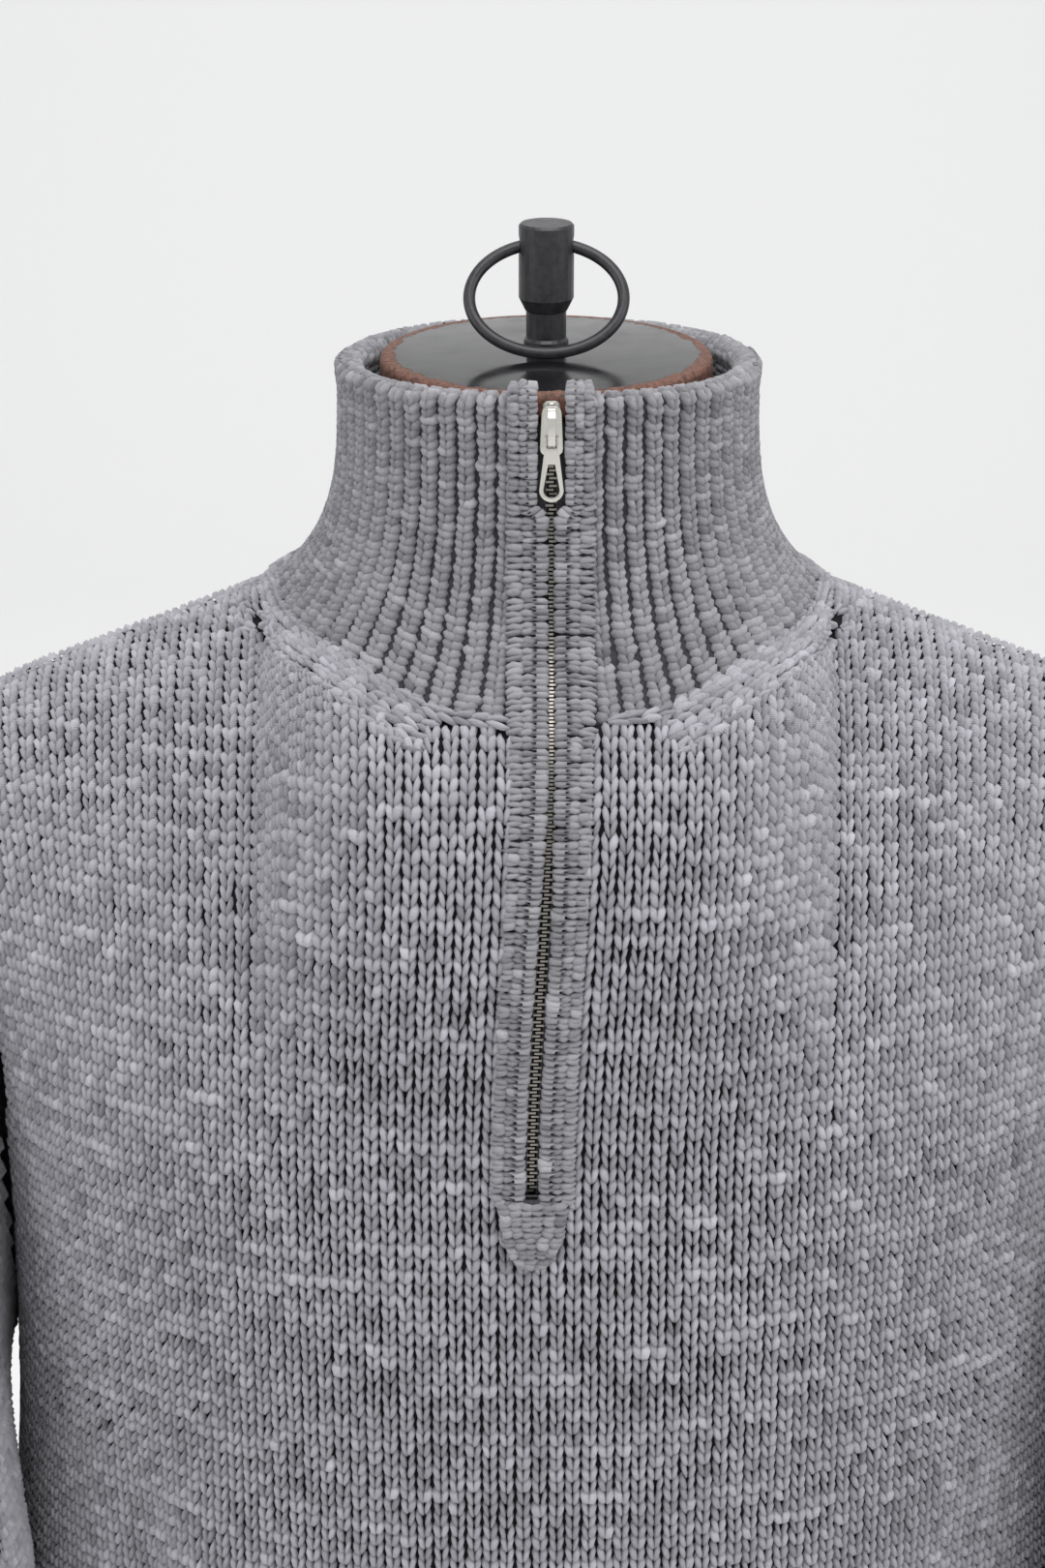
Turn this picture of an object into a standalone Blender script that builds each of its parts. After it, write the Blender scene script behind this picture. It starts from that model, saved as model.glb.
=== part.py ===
"""A chunky quarter zip sweater on a limbless tabletop dress form.

Units are metres, +Z is up and the front faces -Y. The origin is the centre of the form's flat
underside. Left and right are the wearer's, so the left sleeve is at +X. Each piece of cloth is a
closed wall: a grid of points on its outer face, the same points moved in by the cloth's thickness,
and the edges between them.
"""

import math

import bmesh
import bpy
import numpy as np
from mathutils import Matrix, Vector

SEAM_GAP = 0.0003  # between pieces that meet


def table(columns, *rows):
    """Rows of numbers with named columns."""
    return np.array(list(rows), dtype=[(name, float) for name in columns.split()])


# ---------------------------------------------------------------- driving sizes

CAP_TOP = 0.807  # height of the neck cap's top face
CAP_RADIUS = 0.056
CAP_THICKNESS = 0.009

KNIT = 0.004  # wall of the single stockinette
RIB = 0.005  # wall of the rib welts
COLLAR_WALL = 0.0085  # the collar is knitted double

HEM = 0.075  # lower edge of the hem rib
RIB_TOP = 0.135
UNDERARM = 0.430
BUST = 0.557  # height of the zip's lower end
NECK_FRONT = 0.7125
NECK_POINT = (0.096, 0.7235)  # where the shoulder line meets the neck seam: x and z
SHOULDER_SLOPE = 0.385
SHOULDER_RUN = 0.126  # from the neck point to the sleeve seam, in x
SHOULDER_SEAM_Y = 0.014  # the seam lies just behind the crest of the shoulder

SLIT = 0.0128  # half of the slit that the zip and its bands fill

# The body of the sweater, seen in level sections. power is 2 for an ellipse and more for a fuller one.
# reach is how far round to the side each panel goes, 1 being the side seam.
BODY = table(
    "z     half_width front back  power reach",
    (0.075, 0.192, 0.116, 0.110, 2.30, 1.00),
    (0.135, 0.201, 0.128, 0.118, 2.30, 1.00),
    (0.210, 0.212, 0.139, 0.127, 2.30, 1.00),
    (0.330, 0.206, 0.142, 0.127, 2.30, 1.00),
    (0.430, 0.198, 0.1405, 0.124, 2.30, 1.00),
    (0.500, 0.197, 0.1382, 0.121, 2.28, 0.86),
    (0.557, 0.201, 0.1320, 0.115, 2.25, 0.78),
)

# Soft folds of the hanging body. face is -1 in front and 1 at the back, across is measured round the
# cloth from the middle, and rise is outwards.
FOLDS = table(
    "face  across  top    base   width  rise",
    (-1, -0.150, 0.500, 0.330, 0.016, -0.007),
    (-1, -0.118, 0.480, 0.300, 0.018, 0.004),
    (-1, 0.158, 0.470, 0.300, 0.015, -0.007),
    (-1, 0.126, 0.420, 0.250, 0.018, 0.004),
    (-1, 0.050, 0.330, 0.150, 0.020, -0.004),
    (-1, -0.205, 0.420, 0.300, 0.016, 0.007),
    (-1, 0.210, 0.420, 0.300, 0.016, 0.007),
    (1, -0.140, 0.500, 0.300, 0.017, -0.007),
    (1, -0.060, 0.420, 0.240, 0.020, 0.005),
    (1, 0.075, 0.460, 0.260, 0.018, -0.006),
    (1, 0.150, 0.480, 0.300, 0.017, 0.006),
    (1, 0.205, 0.420, 0.280, 0.015, -0.006),
)

# One hanging sleeve, empty and half collapsed. out and top are the outer edge, into and low the inner
# one, depth is half the width from front to back, and turn swings the front edge inwards, in degrees.
SLEEVE = table(
    "out    top    into   low    y       depth  turn",
    (0.2440, 0.640, 0.2050, 0.4250, -0.012, 0.070, 8),
    (0.2600, 0.590, 0.2080, 0.4150, -0.028, 0.074, 18),
    (0.2680, 0.520, 0.2080, 0.3970, -0.044, 0.077, 28),
    (0.2680, 0.450, 0.2080, 0.3700, -0.055, 0.076, 34),
    (0.2670, 0.375, 0.2090, 0.3320, -0.060, 0.071, 34),
    (0.2680, 0.300, 0.2140, 0.2800, -0.058, 0.064, 30),
    (0.2700, 0.230, 0.2200, 0.2220, -0.054, 0.057, 26),
    (0.2680, 0.172, 0.2240, 0.1680, -0.050, 0.046, 22),
)
CUFF_TOP = 0.167
CUFF_LOW = 0.107
SLEEVE_SHIFT = {1: -0.004, -1: -0.003}  # how far out the sleeves hang from the table's places
CUFF_RINGS = ((CUFF_LOW, 0.88), (0.5 * (CUFF_LOW + CUFF_TOP), 0.90), (CUFF_TOP - 0.004, 0.96))  # height, size

# The form's rings, from the underside up to the neck. Each ring passes through a side, a front and a
# back point; on the shoulders the side points climb over towards the neck.
FORM = table(
    "side   side_z front  front_z back   back_z power",
    (0.148, 0.000, 0.094, 0.000, 0.092, 0.000, 2.2),
    (0.152, 0.006, 0.098, 0.006, 0.096, 0.006, 2.2),
    (0.156, 0.090, 0.100, 0.090, 0.097, 0.090, 2.2),
    (0.146, 0.190, 0.098, 0.190, 0.094, 0.190, 2.2),
    (0.134, 0.300, 0.095, 0.300, 0.090, 0.300, 2.2),
    (0.148, 0.420, 0.107, 0.420, 0.097, 0.420, 2.2),
    (0.162, 0.530, 0.115, 0.520, 0.102, 0.530, 2.2),
    (0.172, 0.595, 0.110, 0.575, 0.098, 0.585, 2.1),
    (0.182, 0.640, 0.101, 0.610, 0.090, 0.620, 2.0),
    (0.178, 0.668, 0.090, 0.634, 0.082, 0.646, 1.9),
    (0.158, 0.6890, 0.079, 0.655, 0.074, 0.670, 1.85),
    (0.125, 0.7055, 0.070, 0.678, 0.066, 0.692, 1.85),
    (0.092, 0.7183, 0.063, 0.700, 0.060, 0.712, 1.9),
    (0.068, 0.7296, 0.060, 0.722, 0.056, 0.732, 2.0),
    (0.058, 0.7500, 0.057, 0.748, 0.054, 0.754, 2.0),
    (0.0545, 0.7977, 0.0545, 0.7977, 0.0545, 0.7977, 2.0),
)

POST_Y = 0.008  # the post stands just behind the middle of the cap
STEM_RADIUS = 0.0068
STEM_TOP = 0.0127  # the heights of the post are above the cap
SLEEVE_RADIUS = 0.0093
POST_TOP = 0.0420
RING_AXIS = 0.0345
RING_HALF_WIDTH = 0.0258  # to the middle of the wire
RING_HALF_HEIGHT = 0.0191
RING_WIRE = 0.0022
RING_HOLE = 0.0033

BAND_PROUD = 0.0016
BAND_DEPTH = 0.0030
TAPE_FACE = 0.0037  # below the cloth's outer face
TAPE_THICKNESS = 0.0008
TAPE_EDGE = 0.0013
SLIDER_TOP = 0.8090
SLIDER_LENGTH = 0.0160


# ---------------------------------------------------------------- scene and materials

for old in list(bpy.data.objects):
    bpy.data.objects.remove(old)


def finish(name, colour, roughness, metallic=0.0):
    """A plain material of one colour."""
    material = bpy.data.materials.new(name)
    material.use_nodes = True
    shader = material.node_tree.nodes["Principled BSDF"]
    shader.inputs["Base Color"].default_value = (*colour, 1.0)
    shader.inputs["Roughness"].default_value = roughness
    shader.inputs["Metallic"].default_value = metallic
    material.diffuse_color = (*colour, 1.0)
    return material


GREY_KNIT = finish("grey slub knit", (0.25, 0.25, 0.265), 0.95)
GREY_RIB = finish("grey rib knit", (0.20, 0.20, 0.21), 0.95)
BAND_KNIT = finish("grey garter band", (0.24, 0.24, 0.255), 0.95)
ZIP_TAPE = finish("dark zip tape", (0.05, 0.05, 0.055), 0.9)
NICKEL = finish("bright nickel", (0.75, 0.74, 0.72), 0.25, 1.0)
FORM_LINEN = finish("dark form cloth", (0.05, 0.048, 0.045), 0.85)
BLACK_PAINT = finish("black paint", (0.02, 0.02, 0.022), 0.3)
BLACK_STEEL = finish("blackened steel", (0.03, 0.03, 0.033), 0.35, 0.6)


def placed(name, bm, material, smooth=35):
    """An object of this bmesh, with its faces outwards and its round faces smooth."""
    bmesh.ops.recalc_face_normals(bm, faces=bm.faces)
    mesh = bpy.data.meshes.new(name)
    bm.to_mesh(mesh)
    bm.free()
    mesh.materials.append(material)
    mesh.shade_smooth()
    mesh.set_sharp_from_angle(angle=math.radians(smooth))
    ob = bpy.data.objects.new(name, mesh)
    bpy.context.collection.objects.link(ob)
    return ob


# ---------------------------------------------------------------- curves and lofts

def smooth(t):
    """0 up to 0, 1 from 1 on, and a soft step between."""
    t = np.clip(t, 0.0, 1.0)
    return t * t * (3.0 - 2.0 * t)


def read(rows, column, at, along="z"):
    """A column's value at a height, on a smooth curve through the rows."""
    known, values = rows[along], rows[column]
    slope = np.gradient(values, known)
    i = np.clip(np.searchsorted(known, at) - 1, 0, len(known) - 2)
    span = known[i + 1] - known[i]
    t = np.clip((at - known[i]) / span, 0.0, 1.0)
    return (
        values[i] * (1 + 2 * t) * (1 - t) ** 2
        + slope[i] * span * t * (1 - t) ** 2
        + values[i + 1] * t * t * (3 - 2 * t)
        + slope[i + 1] * span * t * t * (t - 1)
    )


def hermite(start, leave, end, arrive, t):
    """The point at t from start to end, leaving and arriving along the two tangents."""
    return (
        start * (1 + 2 * t) * (1 - t) ** 2
        + leave * t * (1 - t) ** 2
        + end * t * t * (3 - 2 * t)
        + arrive * t * t * (t - 1)
    )


def unit(vectors):
    return vectors / np.maximum(np.linalg.norm(vectors, axis=-1, keepdims=True), 1e-9)


def loft(name, sections, material, closed=False):
    """A solid through closed sections of equally many points; its ends are capped, unless closed."""
    bm = bmesh.new()
    rings = [[bm.verts.new(point) for point in section] for section in sections]
    count = len(rings[0])
    pairs = list(zip(rings, rings[1:]))
    if closed:
        pairs.append((rings[-1], rings[0]))
    else:
        bm.faces.new(rings[0])
        bm.faces.new(rings[-1][::-1])
    for low, high in pairs:
        for k in range(count):
            n = (k + 1) % count
            bm.faces.new((low[k], high[k], high[n], low[n]))
    return placed(name, bm, material)


def turned(name, profile, segments, material, centre=(0.0, 0.0)):
    """A solid turned round a vertical axis, from (radius, height) points between its two ends."""
    angles = 2 * math.pi * np.arange(segments) / segments
    sections = [
        [(centre[0] + r * math.cos(a), centre[1] + r * math.sin(a), z) for a in angles] for r, z in profile
    ]
    return loft(name, sections, material)


def outward(points, ring=False):
    """The normal at each point of a grid whose rows go up and whose columns go to the right."""
    up = np.gradient(points, axis=0)
    if ring:
        right = np.roll(points, -1, axis=1) - np.roll(points, 1, axis=1)
    else:
        right = np.gradient(points, axis=1)
    return unit(np.cross(right, up))


def level(normals, axis=2):
    """Normals with no part along one axis, so that pieces which meet there have matching edges."""
    flat = normals.copy()
    flat[..., axis] = 0.0
    return unit(flat)


def wall(name, points, thickness, material, normals=None, keep=None, ring=False):
    """A closed wall under a grid of outer points. keep says which of the grid's cells are cloth."""
    rows, columns = points.shape[:2]
    across = columns if ring else columns - 1
    if keep is None:
        keep = np.ones((rows - 1, across), bool)
    if normals is None:
        normals = outward(points, ring)
    bm = bmesh.new()
    faces = (points, points - normals * thickness)
    made = {}

    def vertex(side, i, j):
        key = (side, i, j % columns)
        if key not in made:
            made[key] = bm.verts.new(faces[side][i, j % columns])
        return made[key]

    def is_cloth(i, j):
        if ring:
            j %= columns
        return 0 <= i < rows - 1 and 0 <= j < across and keep[i, j]

    for i in range(rows - 1):
        for j in range(across):
            if not keep[i, j]:
                continue
            corners = [(i, j), (i, j + 1), (i + 1, j + 1), (i + 1, j)]
            bm.faces.new([vertex(0, *c) for c in corners])
            bm.faces.new([vertex(1, *c) for c in reversed(corners)])
            beyond = [(i - 1, j), (i, j + 1), (i + 1, j), (i, j - 1)]
            for k, cell in enumerate(beyond):
                if not is_cloth(*cell):
                    a, b = corners[k], corners[(k + 1) % 4]
                    bm.faces.new((vertex(0, *a), vertex(1, *a), vertex(1, *b), vertex(0, *b)))
    return placed(name, bm, material, smooth=60)


# ---------------------------------------------------------------- the dress form

def form_ring(row, count=36):
    """One ring of the form, through its side, front and back points."""
    points = []
    for k in range(count):
        a = 2 * math.pi * (k + 0.5) / count
        c, s = math.cos(a), math.sin(a)
        side = math.copysign(abs(c) ** (2 / row["power"]), c) * row["side"]
        deep = abs(s) ** (2 / row["power"])
        ahead = "front" if s < 0 else "back"
        z = row["side_z"] + (row[ahead + "_z"] - row["side_z"]) * s * s
        points.append((side, math.copysign(deep, s) * row[ahead], z))
    return points


loft("form_torso", [form_ring(row) for row in FORM], FORM_LINEN)

cap_low = CAP_TOP - CAP_THICKNESS
turned(
    "neck_cap",
    [
        (0.0530, cap_low),
        (0.0552, cap_low + 0.0012),
        (CAP_RADIUS, cap_low + 0.0035),
        (CAP_RADIUS, cap_low + 0.0058),
        (0.0552, CAP_TOP - 0.0010),
        (0.0535, CAP_TOP),
    ],
    40,
    BLACK_PAINT,
)

turned(
    "post_stem",
    [
        (0.0076, CAP_TOP + SEAM_GAP),
        (0.0076, CAP_TOP + 0.0024),
        (STEM_RADIUS, CAP_TOP + 0.0034),
        (STEM_RADIUS, CAP_TOP + STEM_TOP - SEAM_GAP),
    ],
    24,
    BLACK_STEEL,
    (0.0, POST_Y),
)

post_sleeve = turned(
    "post_sleeve",
    [
        (0.0072, CAP_TOP + STEM_TOP),
        (SLEEVE_RADIUS, CAP_TOP + STEM_TOP + 0.0042),
        (SLEEVE_RADIUS, CAP_TOP + POST_TOP - 0.0008),
        (SLEEVE_RADIUS - 0.0008, CAP_TOP + POST_TOP),
    ],
    28,
    BLACK_STEEL,
    (0.0, POST_Y),
)

bpy.ops.mesh.primitive_cylinder_add(
    vertices=20,
    radius=RING_HOLE,
    depth=4 * SLEEVE_RADIUS,
    location=(0.0, POST_Y, CAP_TOP + RING_AXIS),
    rotation=(0.0, math.pi / 2, 0.0),
)
ring_hole = bpy.context.object
ring_hole.name = "ring_hole_cutter"
ring_hole.hide_render = True
ring_hole.display_type = "WIRE"
cut = post_sleeve.modifiers.new("ring hole", "BOOLEAN")
cut.operation = "DIFFERENCE"
cut.object = ring_hole


def make_ring():
    """The hanging ring: an oval of wire through the post's hole, leaning forward until it meets the cap."""
    bow = 0.00065  # the wire's bow inside the hole is shared above and below the axis
    reach = 2 * RING_HALF_HEIGHT - bow
    lean = math.acos((RING_AXIS - RING_WIRE - SEAM_GAP) / reach)
    down = np.array((0.0, -math.sin(lean), -math.cos(lean)))
    across = np.array((1.0, 0.0, 0.0))
    square = np.cross(across, down)
    sections = []
    for turn in 2 * math.pi * np.arange(36) / 36:
        middle = across * RING_HALF_WIDTH * math.sin(turn)
        middle = middle + down * (RING_HALF_HEIGHT * (1 - math.cos(turn)) - bow)
        ahead = across * RING_HALF_WIDTH * math.cos(turn) + down * RING_HALF_HEIGHT * math.sin(turn)
        side = unit(np.cross(ahead, square))
        angles = 2 * math.pi * np.arange(10) / 10
        sections.append([middle + RING_WIRE * (side * math.cos(a) + square * math.sin(a)) for a in angles])
    ring = loft("ring", sections, BLACK_STEEL, closed=True)
    ring.location = (0.0, POST_Y, CAP_TOP + RING_AXIS)


make_ring()


# ---------------------------------------------------------------- the body of the sweater

def zip_x(z):
    """The zip's line leans a little to the wearer's right towards its lower end."""
    return 0.0012 - 0.0062 * smooth((NECK_FRONT - z) / 0.156)


def leaning(points):
    """Points in front, moved with the zip's line."""
    moved = points.copy()
    near = np.clip(1 - np.abs(points[..., 0]) / 0.15, 0, 1)
    moved[..., 0] += zip_x(points[..., 2]) * near
    return moved


def half_section(z, face):
    """The half of a level section from the middle to its side edge, and the length along it."""
    angle = np.linspace(0, 0.9999, 61) * math.pi / 2 * min(read(BODY, "reach", z), 1.0)
    power = 2 / read(BODY, "power", z)
    deep = read(BODY, "front" if face < 0 else "back", z)
    x = read(BODY, "half_width", z) * np.sin(angle) ** power
    y = face * deep * np.cos(angle) ** power
    length = np.concatenate(([0.0], np.cumsum(np.hypot(np.diff(x), np.diff(y)))))
    return x, y, length


BUST_LENGTH = half_section(BUST, -1)[2][-1]  # round the cloth, from the middle to the armhole


def spread(across, full):
    """The place round a section of this half length of a column that is across from the middle at the bust."""
    return across * (1 + (full / BUST_LENGTH - 1) * (across / BUST_LENGTH) ** 2)


def fold_rise(face, place, z, edge):
    """How far the folds move the cloth out; they die out at the panel's edge."""
    total = 0.0
    for fold in FOLDS[FOLDS["face"] == face]:
        grown = smooth((fold["top"] - z) / (fold["top"] - fold["base"]))
        total += fold["rise"] * grown * math.exp(-(((place - fold["across"]) / fold["width"]) ** 2))
    return total * (1 - edge**6)


def level_point(across, z, face, folded=True):
    """A point of the hanging body: across from the middle, at a height."""
    x, y, length = half_section(z, face)
    place = spread(abs(across), length[-1])
    side = math.copysign(1.0, across)
    px, py = np.interp(place, length, x), np.interp(place, length, y)
    ahead = min(place + 0.002, length[-1])
    behind = max(ahead - 0.004, 0.0)
    tx = np.interp(ahead, length, x) - np.interp(behind, length, x)
    ty = np.interp(ahead, length, y) - np.interp(behind, length, y)
    normal = np.array((-face * ty, face * tx)) / math.hypot(tx, ty)
    if folded:
        rise = fold_rise(face, side * place, z, abs(across) / BUST_LENGTH)
        px, py = px + normal[0] * rise, py + normal[1] * rise
    return np.array((side * px, py, z))


def top_point(across, face):
    """Where a column ends at the top: on the neck seam or on the shoulder seam."""
    run = SHOULDER_RUN * math.hypot(1, SHOULDER_SLOPE)
    place = spread(abs(across), NECK_POINT[0] + run)
    side = math.copysign(1.0, across)
    seam_y = SHOULDER_SEAM_Y + face * SEAM_GAP
    if place < NECK_POINT[0]:
        round_neck = math.sqrt(1 - (place / NECK_POINT[0]) ** 2)
        if face < 0:
            z = NECK_FRONT + (NECK_POINT[1] - NECK_FRONT) * smooth((place - 0.03) / 0.045)
            return np.array((side * place, seam_y - 0.117 * round_neck, z))
        z = NECK_POINT[1] + 0.019 * smooth((NECK_POINT[0] - place) / 0.07)
        return np.array((side * place, seam_y + 0.058 * round_neck, z))
    along = (place - NECK_POINT[0]) / math.hypot(1, SHOULDER_SLOPE)
    droop = 0.006 * smooth((along - 0.085) / 0.05)
    return np.array((side * (NECK_POINT[0] + along), seam_y, NECK_POINT[1] - SHOULDER_SLOPE * along - droop))


def top_tangent(across, face):
    """The direction of a column where it reaches the top."""
    shoulder = smooth(abs(across) / 0.085)
    if face < 0:
        middle, end = np.array((0.0, 0.62, 0.78)), np.array((0.0, 1.0, -0.10))
    else:
        middle, end = np.array((0.0, -0.45, 0.90)), np.array((0.0, -1.0, 0.10))
    return unit(middle + (end - middle) * shoulder)


def upper_point(across, t, face):
    """A point of a column above the bust, t going from 0 there to 1 at the top."""
    start, end = level_point(across, BUST, face), top_point(across, face)
    leave = unit(start - level_point(across, BUST - 0.01, face))
    size = (1.05 - 0.07 * smooth(abs(across) / 0.11)) * np.linalg.norm(end - start)
    return hermite(start, leave * size, end, top_tangent(across, face) * size, t)


HALF_COLUMNS = [SLIT, 0.031, 0.049, 0.065, 0.080, 0.0945, 0.112, 0.130, 0.148, 0.165, 0.182, 0.199, BUST_LENGTH]
COLUMNS = [-c for c in reversed(HALF_COLUMNS)] + HALF_COLUMNS
LOWER_ROWS = np.concatenate((np.linspace(RIB_TOP + SEAM_GAP, UNDERARM, 9), np.linspace(UNDERARM, BUST, 5)[1:]))
UPPER_ROWS = np.linspace(0, 1, 8)[1:]
ARMHOLE_ROW = 8  # the row at the underarm


def panel_point(across, row, face):
    """A point of a panel: row counts up through the lower rows and then through the upper ones."""
    last = len(LOWER_ROWS) - 1
    if row <= last:
        return level_point(across, np.interp(row, range(last + 1), LOWER_ROWS), face)
    return upper_point(across, (row - last) / len(UPPER_ROWS), face)


def panel_grid(face):
    """The outer points of a panel and their normals, columns going to the right as seen from outside."""
    last = len(LOWER_ROWS) + len(UPPER_ROWS) - 1
    step = 0.02
    points, normals = [], []
    for row in range(last + 1):
        points.append([panel_point(c, row, face) for c in COLUMNS])
        line = []
        for c in COLUMNS:
            edge = BUST_LENGTH - 1e-6
            near, far = max(c - 0.0015, -edge), min(c + 0.0015, edge)
            right = panel_point(far, row, face) - panel_point(near, row, face)
            low, high = max(row - step, 0), min(row + step, last)
            up = panel_point(c, high, face) - panel_point(c, low, face)
            line.append(unit(np.cross(right, up)) * -face)
        normals.append(line)
    points, normals = np.array(points), np.array(normals)
    normals[0] = level(normals[0])
    for edge in (0, -1):
        normals[: ARMHOLE_ROW + 1, edge] = level(normals[: ARMHOLE_ROW + 1, edge], 1)
    if face < 0:
        return leaning(points), normals
    return points[:, ::-1], normals[:, ::-1]


def edge_moved(points, distance):
    """A panel's grid with its two side edges moved outwards along its rows, or inwards if negative."""
    moved = points.copy()
    for edge, inner in ((0, 1), (-1, -2)):
        moved[:, edge] += unit(points[:, edge] - points[:, inner]) * distance
    return moved


front_points, front_normals = panel_grid(-1)
back_points, back_normals = panel_grid(1)

slit_column = COLUMNS.index(-SLIT)
front_keep = np.ones((front_points.shape[0] - 1, len(COLUMNS) - 1), bool)
front_keep[len(LOWER_ROWS) - 1 :, slit_column] = False
wall("front_panel", edge_moved(front_points, -SEAM_GAP), KNIT, GREY_KNIT, front_normals, front_keep)
wall("back_panel", edge_moved(back_points, -SEAM_GAP), KNIT, GREY_KNIT, back_normals)


def hem_rib(name, face):
    """The rib welt below a panel."""
    heights = np.linspace(HEM, RIB_TOP - SEAM_GAP, 4)
    points = np.array([[level_point(c, z, face) for c in COLUMNS[::2] + [COLUMNS[-1]]] for z in heights])
    if face > 0:
        points = points[:, ::-1]
    normals = level(outward(points))
    for edge in (0, -1):
        normals[:, edge] = level(normals[:, edge], 1)
    wall(name, edge_moved(points, -SEAM_GAP), RIB, GREY_RIB, normals)


hem_rib("hem_rib_front", -1)
hem_rib("hem_rib_back", 1)


# ---------------------------------------------------------------- the sleeves

def armhole(front, back, side):
    """Values along the armhole, from the shoulder down the front panel's edge and up the back one's."""
    front = front[ARMHOLE_ROW:, 0 if side < 0 else -1]
    back = back[ARMHOLE_ROW:, -1 if side < 0 else 0]
    return np.concatenate((front[::-1], back[1:-1]))


def sleeve_ring(row, shares, side):
    """One oval section of the hanging sleeve."""
    outer = np.array((row["out"], row["y"], row["top"]))
    inner = np.array((row["into"], row["y"], row["low"]))
    turn = math.radians(row["turn"])
    middle, half = (outer + inner) / 2, (outer - inner) / 2
    thick = np.array((half[0] * math.cos(turn), -half[0] * math.sin(turn), half[2]))
    deep = row["depth"] * np.array((-math.sin(turn), -math.cos(turn), 0.0))
    points = []
    for angle in 2 * math.pi * shares:
        c, s = math.cos(angle), math.sin(angle)
        points.append(middle + thick * math.copysign(abs(c) ** 0.85, c) + deep * math.copysign(abs(s) ** 0.85, s))
    points = np.array(points)
    points[:, 0] += SLEEVE_SHIFT[side] * smooth((0.62 - row["low"]) / 0.2)
    return points * np.array((side, 1, 1))


def make_sleeve(name, cuff_name, side):
    """A sleeve and its cuff."""
    start = armhole(edge_moved(front_points, SEAM_GAP), edge_moved(back_points, SEAM_GAP), side)
    start_normals = armhole(front_normals, back_normals, side)
    steps = np.linalg.norm(np.roll(start, -1, axis=0) - start, axis=1)
    shares = np.concatenate(([0.0], np.cumsum(steps)[:-1])) / steps.sum()
    start = start + np.array((1.5 * side * SEAM_GAP, 0, 0))
    rings = [start]
    for k, row in enumerate(SLEEVE):
        oval = sleeve_ring(row, shares, side)
        grown = smooth((k + 1) / 3.0)
        rings.append(start * (1 - grown) + oval * grown if grown < 1 else oval)
    points = np.array(rings)[::-1]
    if side > 0:
        points, start_normals = points[:, ::-1], start_normals[::-1]
    normals = outward(points, ring=True)
    underarm = smooth((0.64 - points[-1][:, 2:]) / 0.04)
    normals[-1] = unit(normals[-1] * underarm + start_normals)
    normals[0] = level(normals[0])
    wall(name, points, KNIT, GREY_KNIT, normals, ring=True)
    last = sleeve_ring(SLEEVE[-1], shares, side)
    middle = last.mean(axis=0)
    cuff = []
    for z, size in CUFF_RINGS:
        ring = middle + (last - middle) * size
        ring[:, 2] += z - middle[2]
        cuff.append(ring)
    top_ring = last.copy()
    top_ring[:, 2] -= 2 * SEAM_GAP
    cuff.append(top_ring)
    cuff = np.array(cuff)
    if side > 0:
        cuff = cuff[:, ::-1]
    wall(cuff_name, cuff, RIB, GREY_RIB, level(outward(cuff, ring=True)), ring=True)


make_sleeve("sleeve_left", "cuff_rib_left", 1)
make_sleeve("sleeve_right", "cuff_rib_right", -1)


# ---------------------------------------------------------------- the collar

COLLAR_FLARE = 3.6  # how quickly the collar draws in above the neck seam
COLLAR_TOP = table("angle z", (0, 0.8110), (90, 0.8065), (180, 0.8030))


def neck_seam(angle):
    """The neck seam, angle 0 in the middle of the front and going round by the wearer's left."""
    x = NECK_POINT[0] * math.sin(angle)
    face = -1 if math.cos(angle) > 0 else 1
    place = abs(x)
    if face < 0:
        y = SHOULDER_SEAM_Y - 0.117 * abs(math.cos(angle))
        z = NECK_FRONT + (NECK_POINT[1] - NECK_FRONT) * smooth((place - 0.03) / 0.045)
    else:
        y = SHOULDER_SEAM_Y + 0.058 * abs(math.cos(angle))
        z = NECK_POINT[1] + 0.019 * smooth((NECK_POINT[0] - place) / 0.07)
    return np.array((x, y, z))


def collar_point(angle, share):
    """A point of the collar's outer face, share going from 0 at the seam to 1 at the top edge."""
    seam = neck_seam(angle)
    turn = abs(math.degrees(math.atan2(math.sin(angle), math.cos(angle))))
    top = np.array((0.0712 * math.sin(angle), -0.001 - 0.0700 * math.cos(angle), read(COLLAR_TOP, "z", turn, "angle")))
    drawn = 1 - (1 - share) ** COLLAR_FLARE
    point = seam + (top - seam) * drawn
    point[2] = seam[2] + (top[2] - seam[2]) * share
    return point


COLLAR_ROWS = (0.0, 0.07, 0.16, 0.28, 0.44, 0.66, 0.88)


def collar_section(angle):
    """The collar's cut at an angle: up the outer face, over the rolled edge and down inside."""
    outer = np.array([collar_point(angle, share) for share in COLLAR_ROWS])
    outer[0, 2] += 3 * SEAM_GAP
    right = np.array((math.cos(angle), math.sin(angle) * 0.98, 0.0))
    up = np.gradient(outer, axis=0)
    normals = unit(np.cross(unit(right), up))
    inner = outer - normals * COLLAR_WALL
    inward = np.array((-math.sin(angle), math.cos(angle), 0.0))
    inner[0] = outer[0] + inward * COLLAR_WALL + np.array((0.0, 0.0, 3 * SEAM_GAP))
    crown = collar_point(angle, 1.0)
    out, rise = normals[-1], np.array((0.0, 0.0, 1.0))
    middle = crown - out * COLLAR_WALL / 2 - rise * COLLAR_WALL * 0.62
    roll = COLLAR_WALL / 2 + 0.0008
    arc = [
        middle + out * roll * math.cos(a) + rise * (COLLAR_WALL * 0.62) * math.sin(a)
        for a in np.radians((12, 50, 90, 130, 168))
    ]
    return np.concatenate((outer, arc, inner[::-1]))


def collar_angles():
    """Round the collar from one side of the zip to the other."""
    start = math.asin((SLIT + SEAM_GAP) / 0.0712)
    return np.linspace(start, 2 * math.pi - start, 33)


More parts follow.
